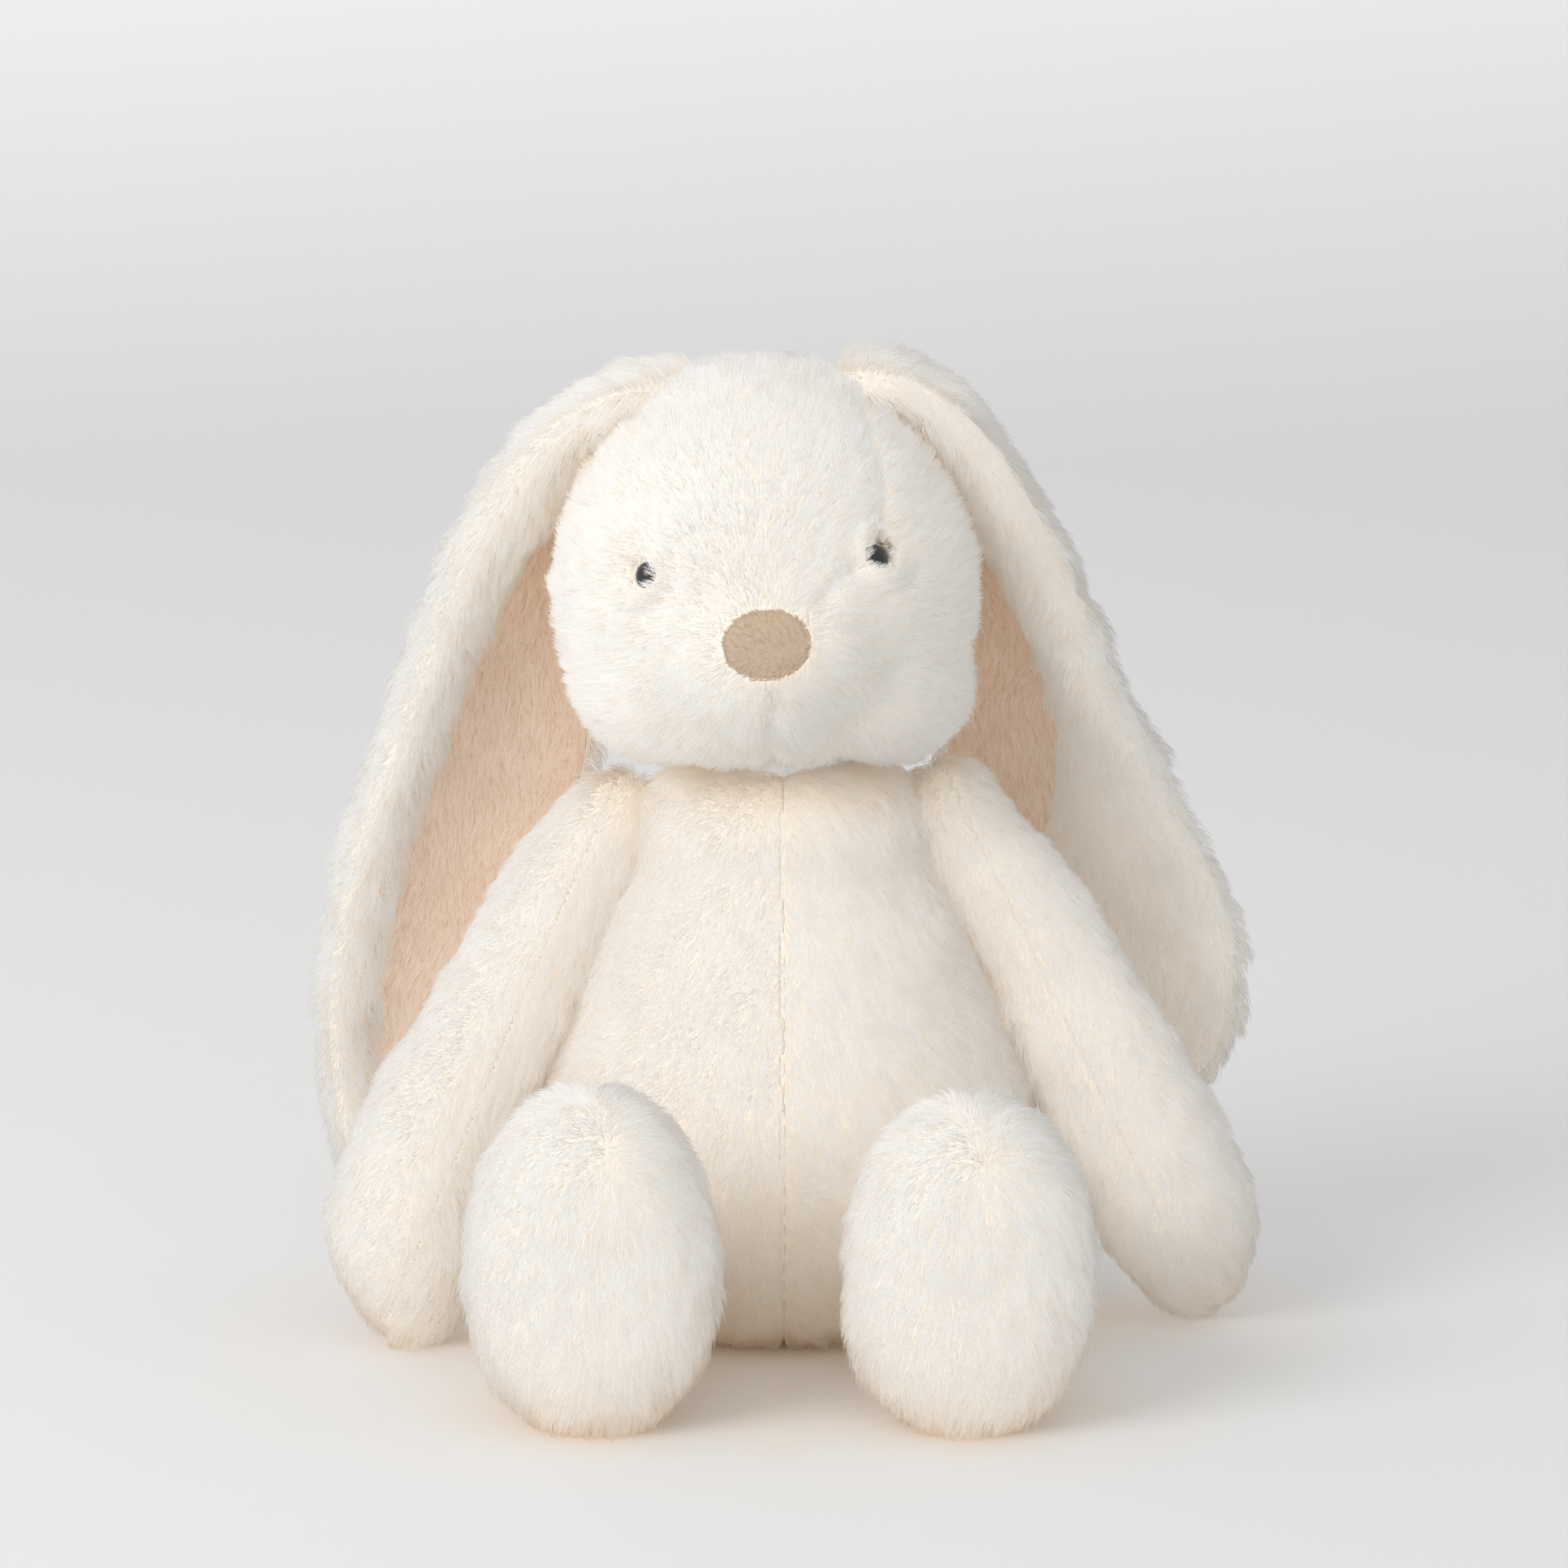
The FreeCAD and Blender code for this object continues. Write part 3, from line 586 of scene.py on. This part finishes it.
def sewn_part(filling, panels, body, comb, seed, shape=None, reach=6.5, rise=3.2):
    """The sewn skin over one stuffed part, cut into its panels, with pile on them."""
    trees = [node_tree(name) for name in panels]
    skin = remeshed(filling, VOXEL)
    skin.smooth(0.5, 2)
    seam = seam_distances(skin.points, trees)[1]
    skin = inflated(skin, seam, filling + "_puff")
    skin = subdivided(skin, 2)
    if shape is not None:
        shape(skin, seam_distances(skin.points, trees)[1])
    owner, seam = seam_distances(skin.points, trees)
    relief(skin, comb, seam, seed)
    face_owner = np.sort(owner[skin.faces], axis=1)[:, 1]
    for index, name in enumerate(panels):
        if name == "nose_patch":
            add_panel(name, skin, face_owner == index, body, NOSE_PILE)
        else:
            add_panel(name, skin, face_owner == index, body, CREAM_PILE)
    areas = face_areas(skin)
    is_nose = np.array([name == "nose_patch" for name in panels])[owner]
    length = 0.6 + 0.4 * smooth_step(seam, 0.0, 3.5)
    covered = np.where(is_nose, 0.0, 1.0)
    if body == "head":
        length *= face_lengths(skin.points)
        for side in SIDES:
            radial, height = eye_distance(skin.points, side)
            covered[(radial < EYE_CLEAR * EYE_OPEN[side]) & (np.abs(height) < EYE_DEPTH)] = 0.0
    pile(filling + "_fibres", skin, covered, body, CREAM_FIBRE,
         int(areas.sum() * FIBRES_PER_MM2), reach, rise, comb, seed, length=length)
    if is_nose.any():
        pile("nose_fibres", skin, np.where(is_nose, 1.0, 0.0), body, NOSE_FIBRE, NOSE_FIBRES, 2.3, 1.1,
             nose_comb, seed + 50, tuft=1.9, gather=0.45, radius=0.08)


def body_comb(points):
    """Downwards, parting a little at the front seam and ruffled in bands on the left."""
    direction = np.tile(DOWN, (len(points), 1))
    direction[:, 0] += 0.3 * np.sign(points[:, 0]) + 0.35 * noise(points, 30.0, 71)
    bands = noise(points * np.array([0.35, 0.6, 1.0]), 9.0, 75)
    ruffled = smooth_step(points[:, 0], -5.0, 12.0) * smooth_step(bands, 0.05, 0.5)
    direction[:, 2] += 1.25 * ruffled * smooth_step(130.0 - points[:, 2], 0.0, 30.0)
    return direction


def head_comb(points):
    """Away from the nose over the face, and down the back of the head."""
    away = unit(points - HEAD_FRONT)
    back = smooth_step(points[:, 1], -20.0, 30.0)[:, None]
    return away * (1.0 - back) + (DOWN + 0.5 * BACKWARD) * back


def nose_comb(points):
    """Up to one side at the top, and in towards a small whorl lower down."""
    whorl = HEAD_FRONT + np.array([2.0, 0.0, -2.5])
    return unit(whorl - points) + np.array([0.9, 0.0, 0.2])


def face_lengths(points):
    """Longer pile in small tufts under the nose, shorter on the brow."""
    offset = points - HEAD_FRONT
    sideways = np.abs(offset[:, 0] - 4.0)
    below = smooth_step(-offset[:, 2], 9.0, 16.0) * (1.0 - smooth_step(sideways, 3.0, 15.0))
    lengths = 0.9 + 0.5 * below * smooth_step(-points[:, 1], 45.0, 60.0)
    for side in SIDES:
        radial, height = eye_distance(points, side)
        lengths *= np.where(np.abs(height) < EYE_DEPTH, 0.4 + 0.6 * smooth_step(radial, 4.5, 10.0), 1.0)
    return lengths


def tail_comb(points):
    return unit(points - node_middle("tail_stuffing")) + DOWN * 0.8


def arm_comb(side):
    joint = [j for j in frame["joints"] if j["name"] == "arm_swing_" + side][0]
    shoulder = np.array(joint["pos_m"]) / MM
    paw = node_middle("arm_stuffing_" + side) * 2.0 - shoulder
    along = unit(paw - shoulder)

    def comb(points):
        return np.tile(along, (len(points), 1)) + 0.35 * noise_vectors(points, 25.0, 33)
    return comb


def leg_comb(side):
    low, high = [np.array(corner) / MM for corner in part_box("foot_sole_" + side)]
    whorl = np.array([(low[0] + high[0]) / 2.0 + 6.0, low[1], high[2] - 16.0])

    def comb(points):
        away = points - whorl
        near = 0.6 * smooth_step(30.0 - np.linalg.norm(away, axis=1), 0.0, 24.0)[:, None]
        front = smooth_step(-points[:, 1], 95.0, 130.0)[:, None]
        direction = DOWN * front + BACKWARD * (1.0 - front) * 0.6
        direction = direction * (1.0 - 0.6 * near) + unit(away) * (0.25 + near)
        return direction + 0.3 * noise_vectors(points, 18.0, 37)
    return comb


# Height of the skin above the tip of each eye, by distance from the eye's middle
EYE_RIM = [(0.0, -3.0), (3.0, -2.6), (4.2, -1.5), (6.0, -0.4), (9.0, 0.5), (12.0, 0.9)]
EYE_RIM_REACH = 12.0
EYE_DEPTH = 15.0            # further than this in front or behind, a point isn't by the eye
EYE_CLEAR = 3.9             # no pile is rooted nearer than this
EYE_OPEN = {"right": 1.22, "left": 1.0}
JOWLS = (7.5, 2.4)          # how far they are pushed out on the rabbit's left and right
PARTING_DEPTH = 1.8         # the fold under the nose
PARTING_WIDTH = 2.4
BROW_DEPTH = 1.7            # the gusset seams, from the nose past the eyes to the ears
BROW_WIDTH = 2.8
BROW_RIGHT_SHARE = 0.4

# Arms and feet
SHOULDER_IN = 5.0
SHOULDER_UP = 4.0           # the rabbit's left only
SHOULDER_FILL = 3.2
PAW_DOWN = 2.5
PAW_FILL = 2.2
PAW_REST = 6.0              # the right paw leans in against the foot
ELBOWS = (5.5, 3.0)         # how far the left and right arms fill in towards the body
SOLE_SPREAD = 3.2
FLOOR_GAP = 0.3


def eye_place(side):
    """The tip of an eye's dome and the direction it faces."""
    low, high = [np.array(corner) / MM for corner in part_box("eye_washer_" + side)]
    eye = node_middle("eye_" + side)
    facing = unit(eye - (low + high) / 2.0)
    points, _ = node_arrays("eye_" + side)
    return eye + facing * np.max((points - eye) @ facing), facing


def eye_distance(points, side):
    """Distance from the line an eye looks along, and height above the eye's tip."""
    tip, facing = eye_place(side)
    offset = points - tip
    height = offset @ facing
    return np.linalg.norm(offset - height[:, None] * facing, axis=1), height


def shape_face(skin, seam):
    """Dimples that hide the edges of the eyes, jowls, the fold under the nose and the brow seams."""
    radii, heights = zip(*EYE_RIM)
    for side in SIDES:
        facing = eye_place(side)[1]
        radial, height = eye_distance(skin.points, side)
        wanted = np.interp(radial / EYE_OPEN[side], radii, heights)
        share = (1.0 - smooth_step(radial, 7.0, EYE_RIM_REACH)) * (np.abs(height) < EYE_DEPTH + 5.0)
        skin.points = skin.points + facing * ((wanted - height) * share)[:, None]
    skin.refresh()
    offset = skin.points - HEAD_FRONT
    jowl = smooth_step(np.abs(offset[:, 0]), 20.0, 42.0) * smooth_step(-offset[:, 2], 8.0, 26.0)
    skin.push(jowl * np.where(offset[:, 0] > 0.0, *JOWLS))
    front = smooth_step(-skin.points[:, 1], 35.0, 55.0) * smooth_step(-offset[:, 2], 11.0, 18.0)
    parting = np.exp(-((offset[:, 0] - 4.0 - 0.12 * offset[:, 2]) / PARTING_WIDTH) ** 2)
    skin.push(-PARTING_DEPTH * front * parting)
    brow = smooth_step(-skin.points[:, 1], 5.0, 25.0) * (1.0 - front)
    brow *= smooth_step(np.linalg.norm(offset, axis=1), 15.0, 21.0)
    brow *= np.where(offset[:, 0] > 0.0, 1.0, BROW_RIGHT_SHARE)
    skin.push(-BROW_DEPTH * brow * np.exp(-(seam / BROW_WIDTH) ** 2))


def shape_body(skin, _seam):
    """Fill the shoulders out to the head."""
    lift = smooth_step(skin.points[:, 2], 140.0, 160.0)
    skin.push(SHOULDER_FILL * lift)


def shape_arm(skin, _seam):
    """Draw the shoulder in and up against the body, and fill out the paw."""
    lift = smooth_step(skin.points[:, 2], 138.0, 160.0)
    near = smooth_step(66.0 - np.abs(skin.points[:, 0]), 0.0, 12.0)
    skin.points[:, 2] += np.where(skin.points[:, 0] > 0.0, SHOULDER_UP, 0.0) * lift * near
    skin.points[:, 0] -= SHOULDER_IN * lift * np.sign(skin.points[:, 0])
    skin.points[:, 2] -= PAW_DOWN * (1.0 - smooth_step(skin.points[:, 2], 6.0, 26.0))
    skin.refresh()
    skin.push(SHOULDER_FILL * smooth_step(skin.points[:, 2], 100.0, 140.0))
    skin.push(PAW_FILL * (1.0 - smooth_step(skin.points[:, 2], 20.0, 60.0)))
    resting = (skin.points[:, 0] < 0.0) * (1.0 - smooth_step(skin.points[:, 2], 8.0, 45.0))
    skin.points[:, 0] += PAW_REST * resting
    sign = np.sign(skin.points[:, 0])
    elbow = smooth_step(skin.points[:, 2], 35.0, 65.0)
    elbow *= 1.0 - smooth_step(skin.points[:, 2], 95.0, 130.0)
    inward = np.maximum(-sign * skin.normals[:, 0], 0.0)
    skin.points[:, 0] -= sign * np.where(sign > 0.0, *ELBOWS) * elbow * inward
    skin.refresh()


def shape_leg(skin, _seam):
    """Spread the lower edge of the sole over the floor."""
    front = smooth_step(-skin.points[:, 1], 92.0, 122.0)
    low = 1.0 - smooth_step(skin.points[:, 2], 6.0, 55.0)
    skin.push(SOLE_SPREAD * front * low)
    skin.points[:, 2] = np.maximum(skin.points[:, 2], FLOOR_GAP)
    skin.refresh()


BODY_PANELS = ["body_front_left", "body_front_right", "body_back_left", "body_back_right", "body_base"]
HEAD_PANELS = ["head_gusset", "head_side_left", "head_side_right", "nose_patch"]

sewn_part("body_stuffing", BODY_PANELS, "torso", body_comb, 1, shape=shape_body)
sewn_part("head_stuffing", HEAD_PANELS, "head", head_comb, 2, shape=shape_face)
sewn_part("tail_stuffing", ["tail_cover"], "torso", tail_comb, 3, reach=5.0, rise=5.5)
for number, side in enumerate(SIDES):
    arm_panels = ["arm_outer_" + side, "arm_inner_" + side]
    sewn_part("arm_stuffing_" + side, arm_panels, "arm_" + side, arm_comb(side), 10 + number,
              shape=shape_arm)
    leg_panels = ["leg_outer_" + side, "leg_inner_" + side, "foot_sole_" + side]
    sewn_part("leg_stuffing_" + side, leg_panels, "leg_" + side, leg_comb(side), 20 + number,
              shape=shape_leg)


# ---------------------------------------------------------------- ears

# Each section: x outwards, y, z, width direction x and y, half-width, width of the edge rolled
# forward over the lining, and how far that roll stands forward
EARS = {
    "right": [
        (25.0, 0.0, 288.5, 0.15, -1.00, 3.0, 6.2, 0.5),
        (34.5, 1.0, 286.5, 0.15, -1.00, 13.0, 26.5, 3.0), (48.0, 3.0, 283.0, 0.25, -0.97, 17.0, 34.5, 5.0),
        (64.5, 9.0, 268.5, 0.50, -0.85, 21.0, 37.0, 7.0), (77.5, 17.0, 240.0, 0.72, -0.68, 25.0, 25.0, 8.0),
        (84.5, 28.0, 206.0, 0.88, -0.45, 28.0, 17.0, 7.0), (91.0, 37.5, 170.0, 0.97, -0.22, 32.0, 15.0, 6.0),
        (104.0, 44.0, 130.0, 1.00, -0.10, 31.5, 15.0, 5.5), (114.0, 47.0, 92.0, 1.00, 0.00, 28.0, 14.0, 5.0),
        (118.5, 48.5, 58.0, 1.00, 0.00, 23.0, 12.0, 4.0), (121.0, 49.0, 36.0, 1.00, 0.00, 14.5, 8.0, 3.0),
        (122.0, 49.0, 27.0, 1.00, 0.00, 3.0, 2.0, 1.0),
    ],
    "left": [
        (15.0, 0.0, 288.5, 0.15, -1.00, 3.0, 6.2, 0.5),
        (24.5, 1.0, 288.0, 0.15, -1.00, 13.0, 26.5, 3.0), (35.0, 3.0, 285.0, 0.25, -0.97, 17.0, 34.5, 5.0),
        (47.5, 8.0, 274.5, 0.45, -0.88, 20.5, 39.0, 7.0), (60.5, 16.0, 248.0, 0.60, -0.80, 23.5, 33.0, 8.0),
        (72.0, 26.0, 213.0, 0.76, -0.65, 26.5, 22.0, 7.0), (78.0, 36.5, 177.0, 0.88, -0.47, 33.0, 24.0, 6.5),
        (93.0, 43.5, 141.0, 0.95, -0.25, 31.5, 42.0, 5.5), (110.5, 47.5, 108.0, 1.00, -0.05, 28.5, 52.0, 5.0),
        (117.0, 49.0, 83.0, 1.00, 0.00, 23.0, 43.0, 4.0), (119.5, 49.5, 66.0, 1.00, 0.00, 14.0, 26.0, 3.0),
        (120.5, 49.5, 59.0, 1.00, 0.00, 3.0, 5.0, 1.0),
    ],
}
EAR_RISE = 10.5             # bow of a wide section towards the back
EAR_THICKNESS = 6.0
EAR_WIDE = 29.0
EAR_ROWS = 190
EAR_COLUMNS = 66            # points from one edge of a section to the other


def curve_through(values, rows):
    """A smooth curve through evenly spaced rows of values."""
    values = np.array(values, float)
    count = len(values)
    place = np.linspace(0.0, count - 1.0, rows)
    index = np.minimum(place.astype(int), count - 2)
    share = (place - index)[:, None]
    padded = np.concatenate([2 * values[:1] - values[1:2], values, 2 * values[-1:] - values[-2:-1]])
    a, b, c, d = [padded[index + step] for step in range(4)]
    return 0.5 * (2 * b + (c - a) * share + (2 * a - 5 * b + 4 * c - d) * share ** 2
                  + (3 * b - a - 3 * c + d) * share ** 3)


def make_ear(side, seed):
    sign = SIDES[side]
    rows = curve_through(EARS[side], EAR_ROWS)
    centres = rows[:, :3] * np.array([sign, 1.0, 1.0])
    along = unit(np.gradient(centres, axis=0))
    wide = np.stack([rows[:, 3] * sign, rows[:, 4], np.zeros(EAR_ROWS)], axis=1)
    wide = flattened(wide, along)
    back = np.cross(along, wide) * -sign
    half, roll, proud = rows[:, 5:6], rows[:, 6:7], rows[:, 7:8]
    angle = np.linspace(0.0, 2.0 * math.pi, 2 * EAR_COLUMNS, endpoint=False)[None, :]
    across = -np.cos(angle)
    behind = np.sin(angle) >= 0.0
    fullness = np.minimum(1.0, half / EAR_WIDE)
    bow = EAR_RISE * fullness ** 2 * (1.0 - across ** 2)
    thickness = np.minimum(EAR_THICKNESS, half) * np.sqrt(np.maximum(1.0 - across ** 8, 0.0))
    edge = 1.0 - roll / half
    inside = (across - edge) / np.maximum(1.0 - edge, 1e-6)
    bulge = np.sqrt(np.maximum(1.0 - (2.0 * inside - 1.0) ** 2, 0.0)) * (inside > 0.0)
    forward = thickness + proud * bulge
    height = np.where(behind, bow, bow - forward)
    points = (centres[:, None, :] + wide[:, None, :] * (across * half)[:, :, None]
              + back[:, None, :] * height[:, :, None])
    count = points.shape[1]
    grid = np.arange(EAR_ROWS * count).reshape(EAR_ROWS, count)
    next_column = np.roll(grid, -1, axis=1)
    faces = np.stack([grid[:-1], grid[1:], next_column[1:], next_column[:-1]], axis=-1).reshape(-1, 4)
    if sign > 0:
        faces = faces[:, ::-1]
    skin = Skin(points.reshape(-1, 3), faces)
    lined = (~behind & (inside < 0.0) & (across > -0.93)).ravel()
    sag = 1.6 * noise(skin.points, 34.0, seed) + 0.8 * noise(skin.points, 13.0, seed + 1)
    skin.points = skin.points + np.repeat(back, count, axis=0) * sag[:, None]
    skin.smooth(0.5, 2)
    downwards = np.repeat(along, count, axis=0)

    def comb(places):
        nearest = np.abs(places[:, None, 2] - centres[None, ::6, 2]).argmin(axis=1)
        return along[::6][nearest] + 0.3 * noise_vectors(places, 20.0, seed + 2)

    streaked = streaks(skin.points, flattened(downwards, skin.normals), 1.7, seed + 3)
    skin.push(np.where(lined, 0.15, 0.35) * streaked)
    face_lined = lined[skin.faces].sum(axis=1) >= 2
    add_panel("ear_back_" + side, skin, ~face_lined, "ear_" + side, CREAM_PILE)
    add_panel("ear_lining_" + side, skin, face_lined, "ear_" + side, LINING_PILE)
    areas = face_areas(skin)
    cream_count = int(areas[~face_lined].sum() * FIBRES_PER_MM2)
    lined_count = int(areas[face_lined].sum() * FIBRES_PER_MM2)
    pile("ear_back_fibres_" + side, skin, np.where(lined, 0.0, 1.0), "ear_" + side, CREAM_FIBRE,
         cream_count, 6.5, 4.2, comb, seed + 4, tuft=4.5, gather=0.6)
    if lined_count > 0:
        pile("ear_lining_fibres_" + side, skin, np.where(lined, 1.0, 0.0), "ear_" + side, LINING_FIBRE,
             lined_count, 5.5, 2.4, comb, seed + 5, tuft=3.0)


make_ear("right", 300)
make_ear("left", 340)


# ---------------------------------------------------------------- label

def make_label():
    """A blank loop of tape whose free end curls to one side."""
    low, high = [np.array(corner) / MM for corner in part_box("care_label")]
    columns, rows = 40, 12
    reach = np.linspace(0.0, 1.0, columns)
    y = low[1] + 1.0 + (high[1] - low[1] - 1.0) * reach
    x = 3.5 * reach ** 2 + 0.7 * np.sin(reach * 7.0) * reach
    z = np.linspace(low[2] + 0.3, high[2], rows)
    sheet = np.zeros((columns, rows, 3))
    sheet[:, :, 0] = x[:, None]
    sheet[:, :, 1] = y[:, None]
    sheet[:, :, 2] = z[None, :] + 0.6 * reach[:, None] ** 2
    grid = np.arange(columns * rows).reshape(columns, rows)
    faces = np.stack([grid[:-1, :-1], grid[1:, :-1], grid[1:, 1:], grid[:-1, 1:]], axis=-1).reshape(-1, 4)
    skin = Skin(sheet.reshape(-1, 3), faces)
    points, sides = thickened(skin, np.ones(len(faces), bool), 0.4)
    label = mesh_object("care_label_tape", points, sides)
    label.data.materials.append(LABEL_TAPE)
    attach(label, "torso")
    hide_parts("care_label")


make_label()


# ---------------------------------------------------------------- carried-over nodes

CARRIED = {
    "stuffing": FILLING, "stitches": THREAD, "eye_washer": WASHER_PLASTIC, "eye_": EYE_PLASTIC,
    "bean_pouch": POUCH_CLOTH, "bean_fill": BEANS,
}
for name, node in frame["nodes"].items():
    for key, material in CARRIED.items():
        if key in name:
            node.data.materials.clear()
            node.data.materials.append(material)
            break


# ---------------------------------------------------------------- stage

def make_floor():
    """A pale floor that curves up into a backdrop, with painted light on the paper: lighter up the backdrop,
    lighter to the left, and painted warm bounce near the toy.
    """
    reach = 6.0
    behind = 2.2
    bend = 1.2
    profile = [(-reach, 0.0), (behind, 0.0)]
    for step in range(1, 13):
        angle = math.radians(90.0 * step / 12)
        profile.append((behind + bend * math.sin(angle), bend * (1.0 - math.cos(angle))))
    profile.append((behind + bend, 6.0))
    points = []
    for x in (-reach, reach):
        points += [(x / MM, y / MM, z / MM) for y, z in profile]
    count = len(profile)
    faces = [(i, i + 1, i + 1 + count, i + count) for i in range(count - 1)]
    floor = mesh_object("studio_floor", points, [face[::-1] for face in faces])
    material, nodes, links, surface = new_material("studio_paper")
    place = nodes.new("ShaderNodeTexCoord")
    height = nodes.new("ShaderNodeSeparateXYZ")
    level = nodes.new("ShaderNodeMapRange")
    level.inputs["From Max"].default_value = 1.2
    # painted light: the paper is darker on the floor and lighter up the backdrop
    ramp = ramp_node(nodes, [(0.0, (0.73, 0.73, 0.73)), (0.3, (0.94, 0.94, 0.94)), (1.0, (0.98, 0.98, 0.98))])
    links.new(place.outputs["Object"], height.inputs["Vector"])
    links.new(height.outputs["Z"], level.inputs["Value"])
    links.new(level.outputs["Result"], ramp.inputs["Fac"])
    # painted light: the paper is a little lighter on the left, towards the key lamp, and darker on the right
    across = nodes.new("ShaderNodeMapRange")
    across.inputs["From Min"].default_value = -0.6
    across.inputs["From Max"].default_value = 0.6
    across.inputs["To Min"].default_value = 1.02
    across.inputs["To Max"].default_value = 0.98
    links.new(height.outputs["X"], across.inputs["Value"])
    shade = nodes.new("ShaderNodeVectorMath")
    shade.operation = "SCALE"
    links.new(ramp.outputs["Color"], shade.inputs[0])
    links.new(across.outputs["Result"], shade.inputs["Scale"])
    # painted bounce light: the paper turns warmer where it is hemmed in near the toy
    links.new(with_painted_bounce(nodes, links, shade.outputs["Vector"]), surface.inputs["Base Color"])
    surface.inputs["Roughness"].default_value = 0.9
    floor.data.materials.append(material)


def area_light(name, place, target, size, power, colour):
    data = bpy.data.lights.new(name, "AREA")
    data.size = size
    data.energy = power
    data.color = colour
    lamp = bpy.data.objects.new(name, data)
    lamp.location = place
    lamp.rotation_euler = (Vector(target) - Vector(place)).to_track_quat("-Z", "Y").to_euler()
    bpy.context.scene.collection.objects.link(lamp)


def make_camera():
    data = bpy.data.cameras.new("camera")
    data.lens = CAMERA_LENS
    camera = bpy.data.objects.new("camera", data)
    back = Vector((0.0, -math.cos(CAMERA_TILT), math.sin(CAMERA_TILT))) * CAMERA_DISTANCE
    camera.location = (CAMERA_AIM + back) * MM
    camera.rotation_euler = (-back).to_track_quat("-Z", "Y").to_euler()
    bpy.context.scene.collection.objects.link(camera)
    bpy.context.scene.camera = camera


def make_world():
    world = bpy.data.worlds.new("studio")
    world.use_nodes = True
    background = world.node_tree.nodes["Background"]
    background.inputs["Color"].default_value = (1.0, 1.0, 1.0, 1.0)
    background.inputs["Strength"].default_value = 0.84
    bpy.context.scene.world = world


make_floor()
make_world()
make_camera()
area_light("key", (-1.9, -1.7, 1.5), (0.0, 0.0, 0.15), 1.5, 40.0, (1.0, 1.0, 1.0))
bpy.context.scene.view_settings.view_transform = "Standard"
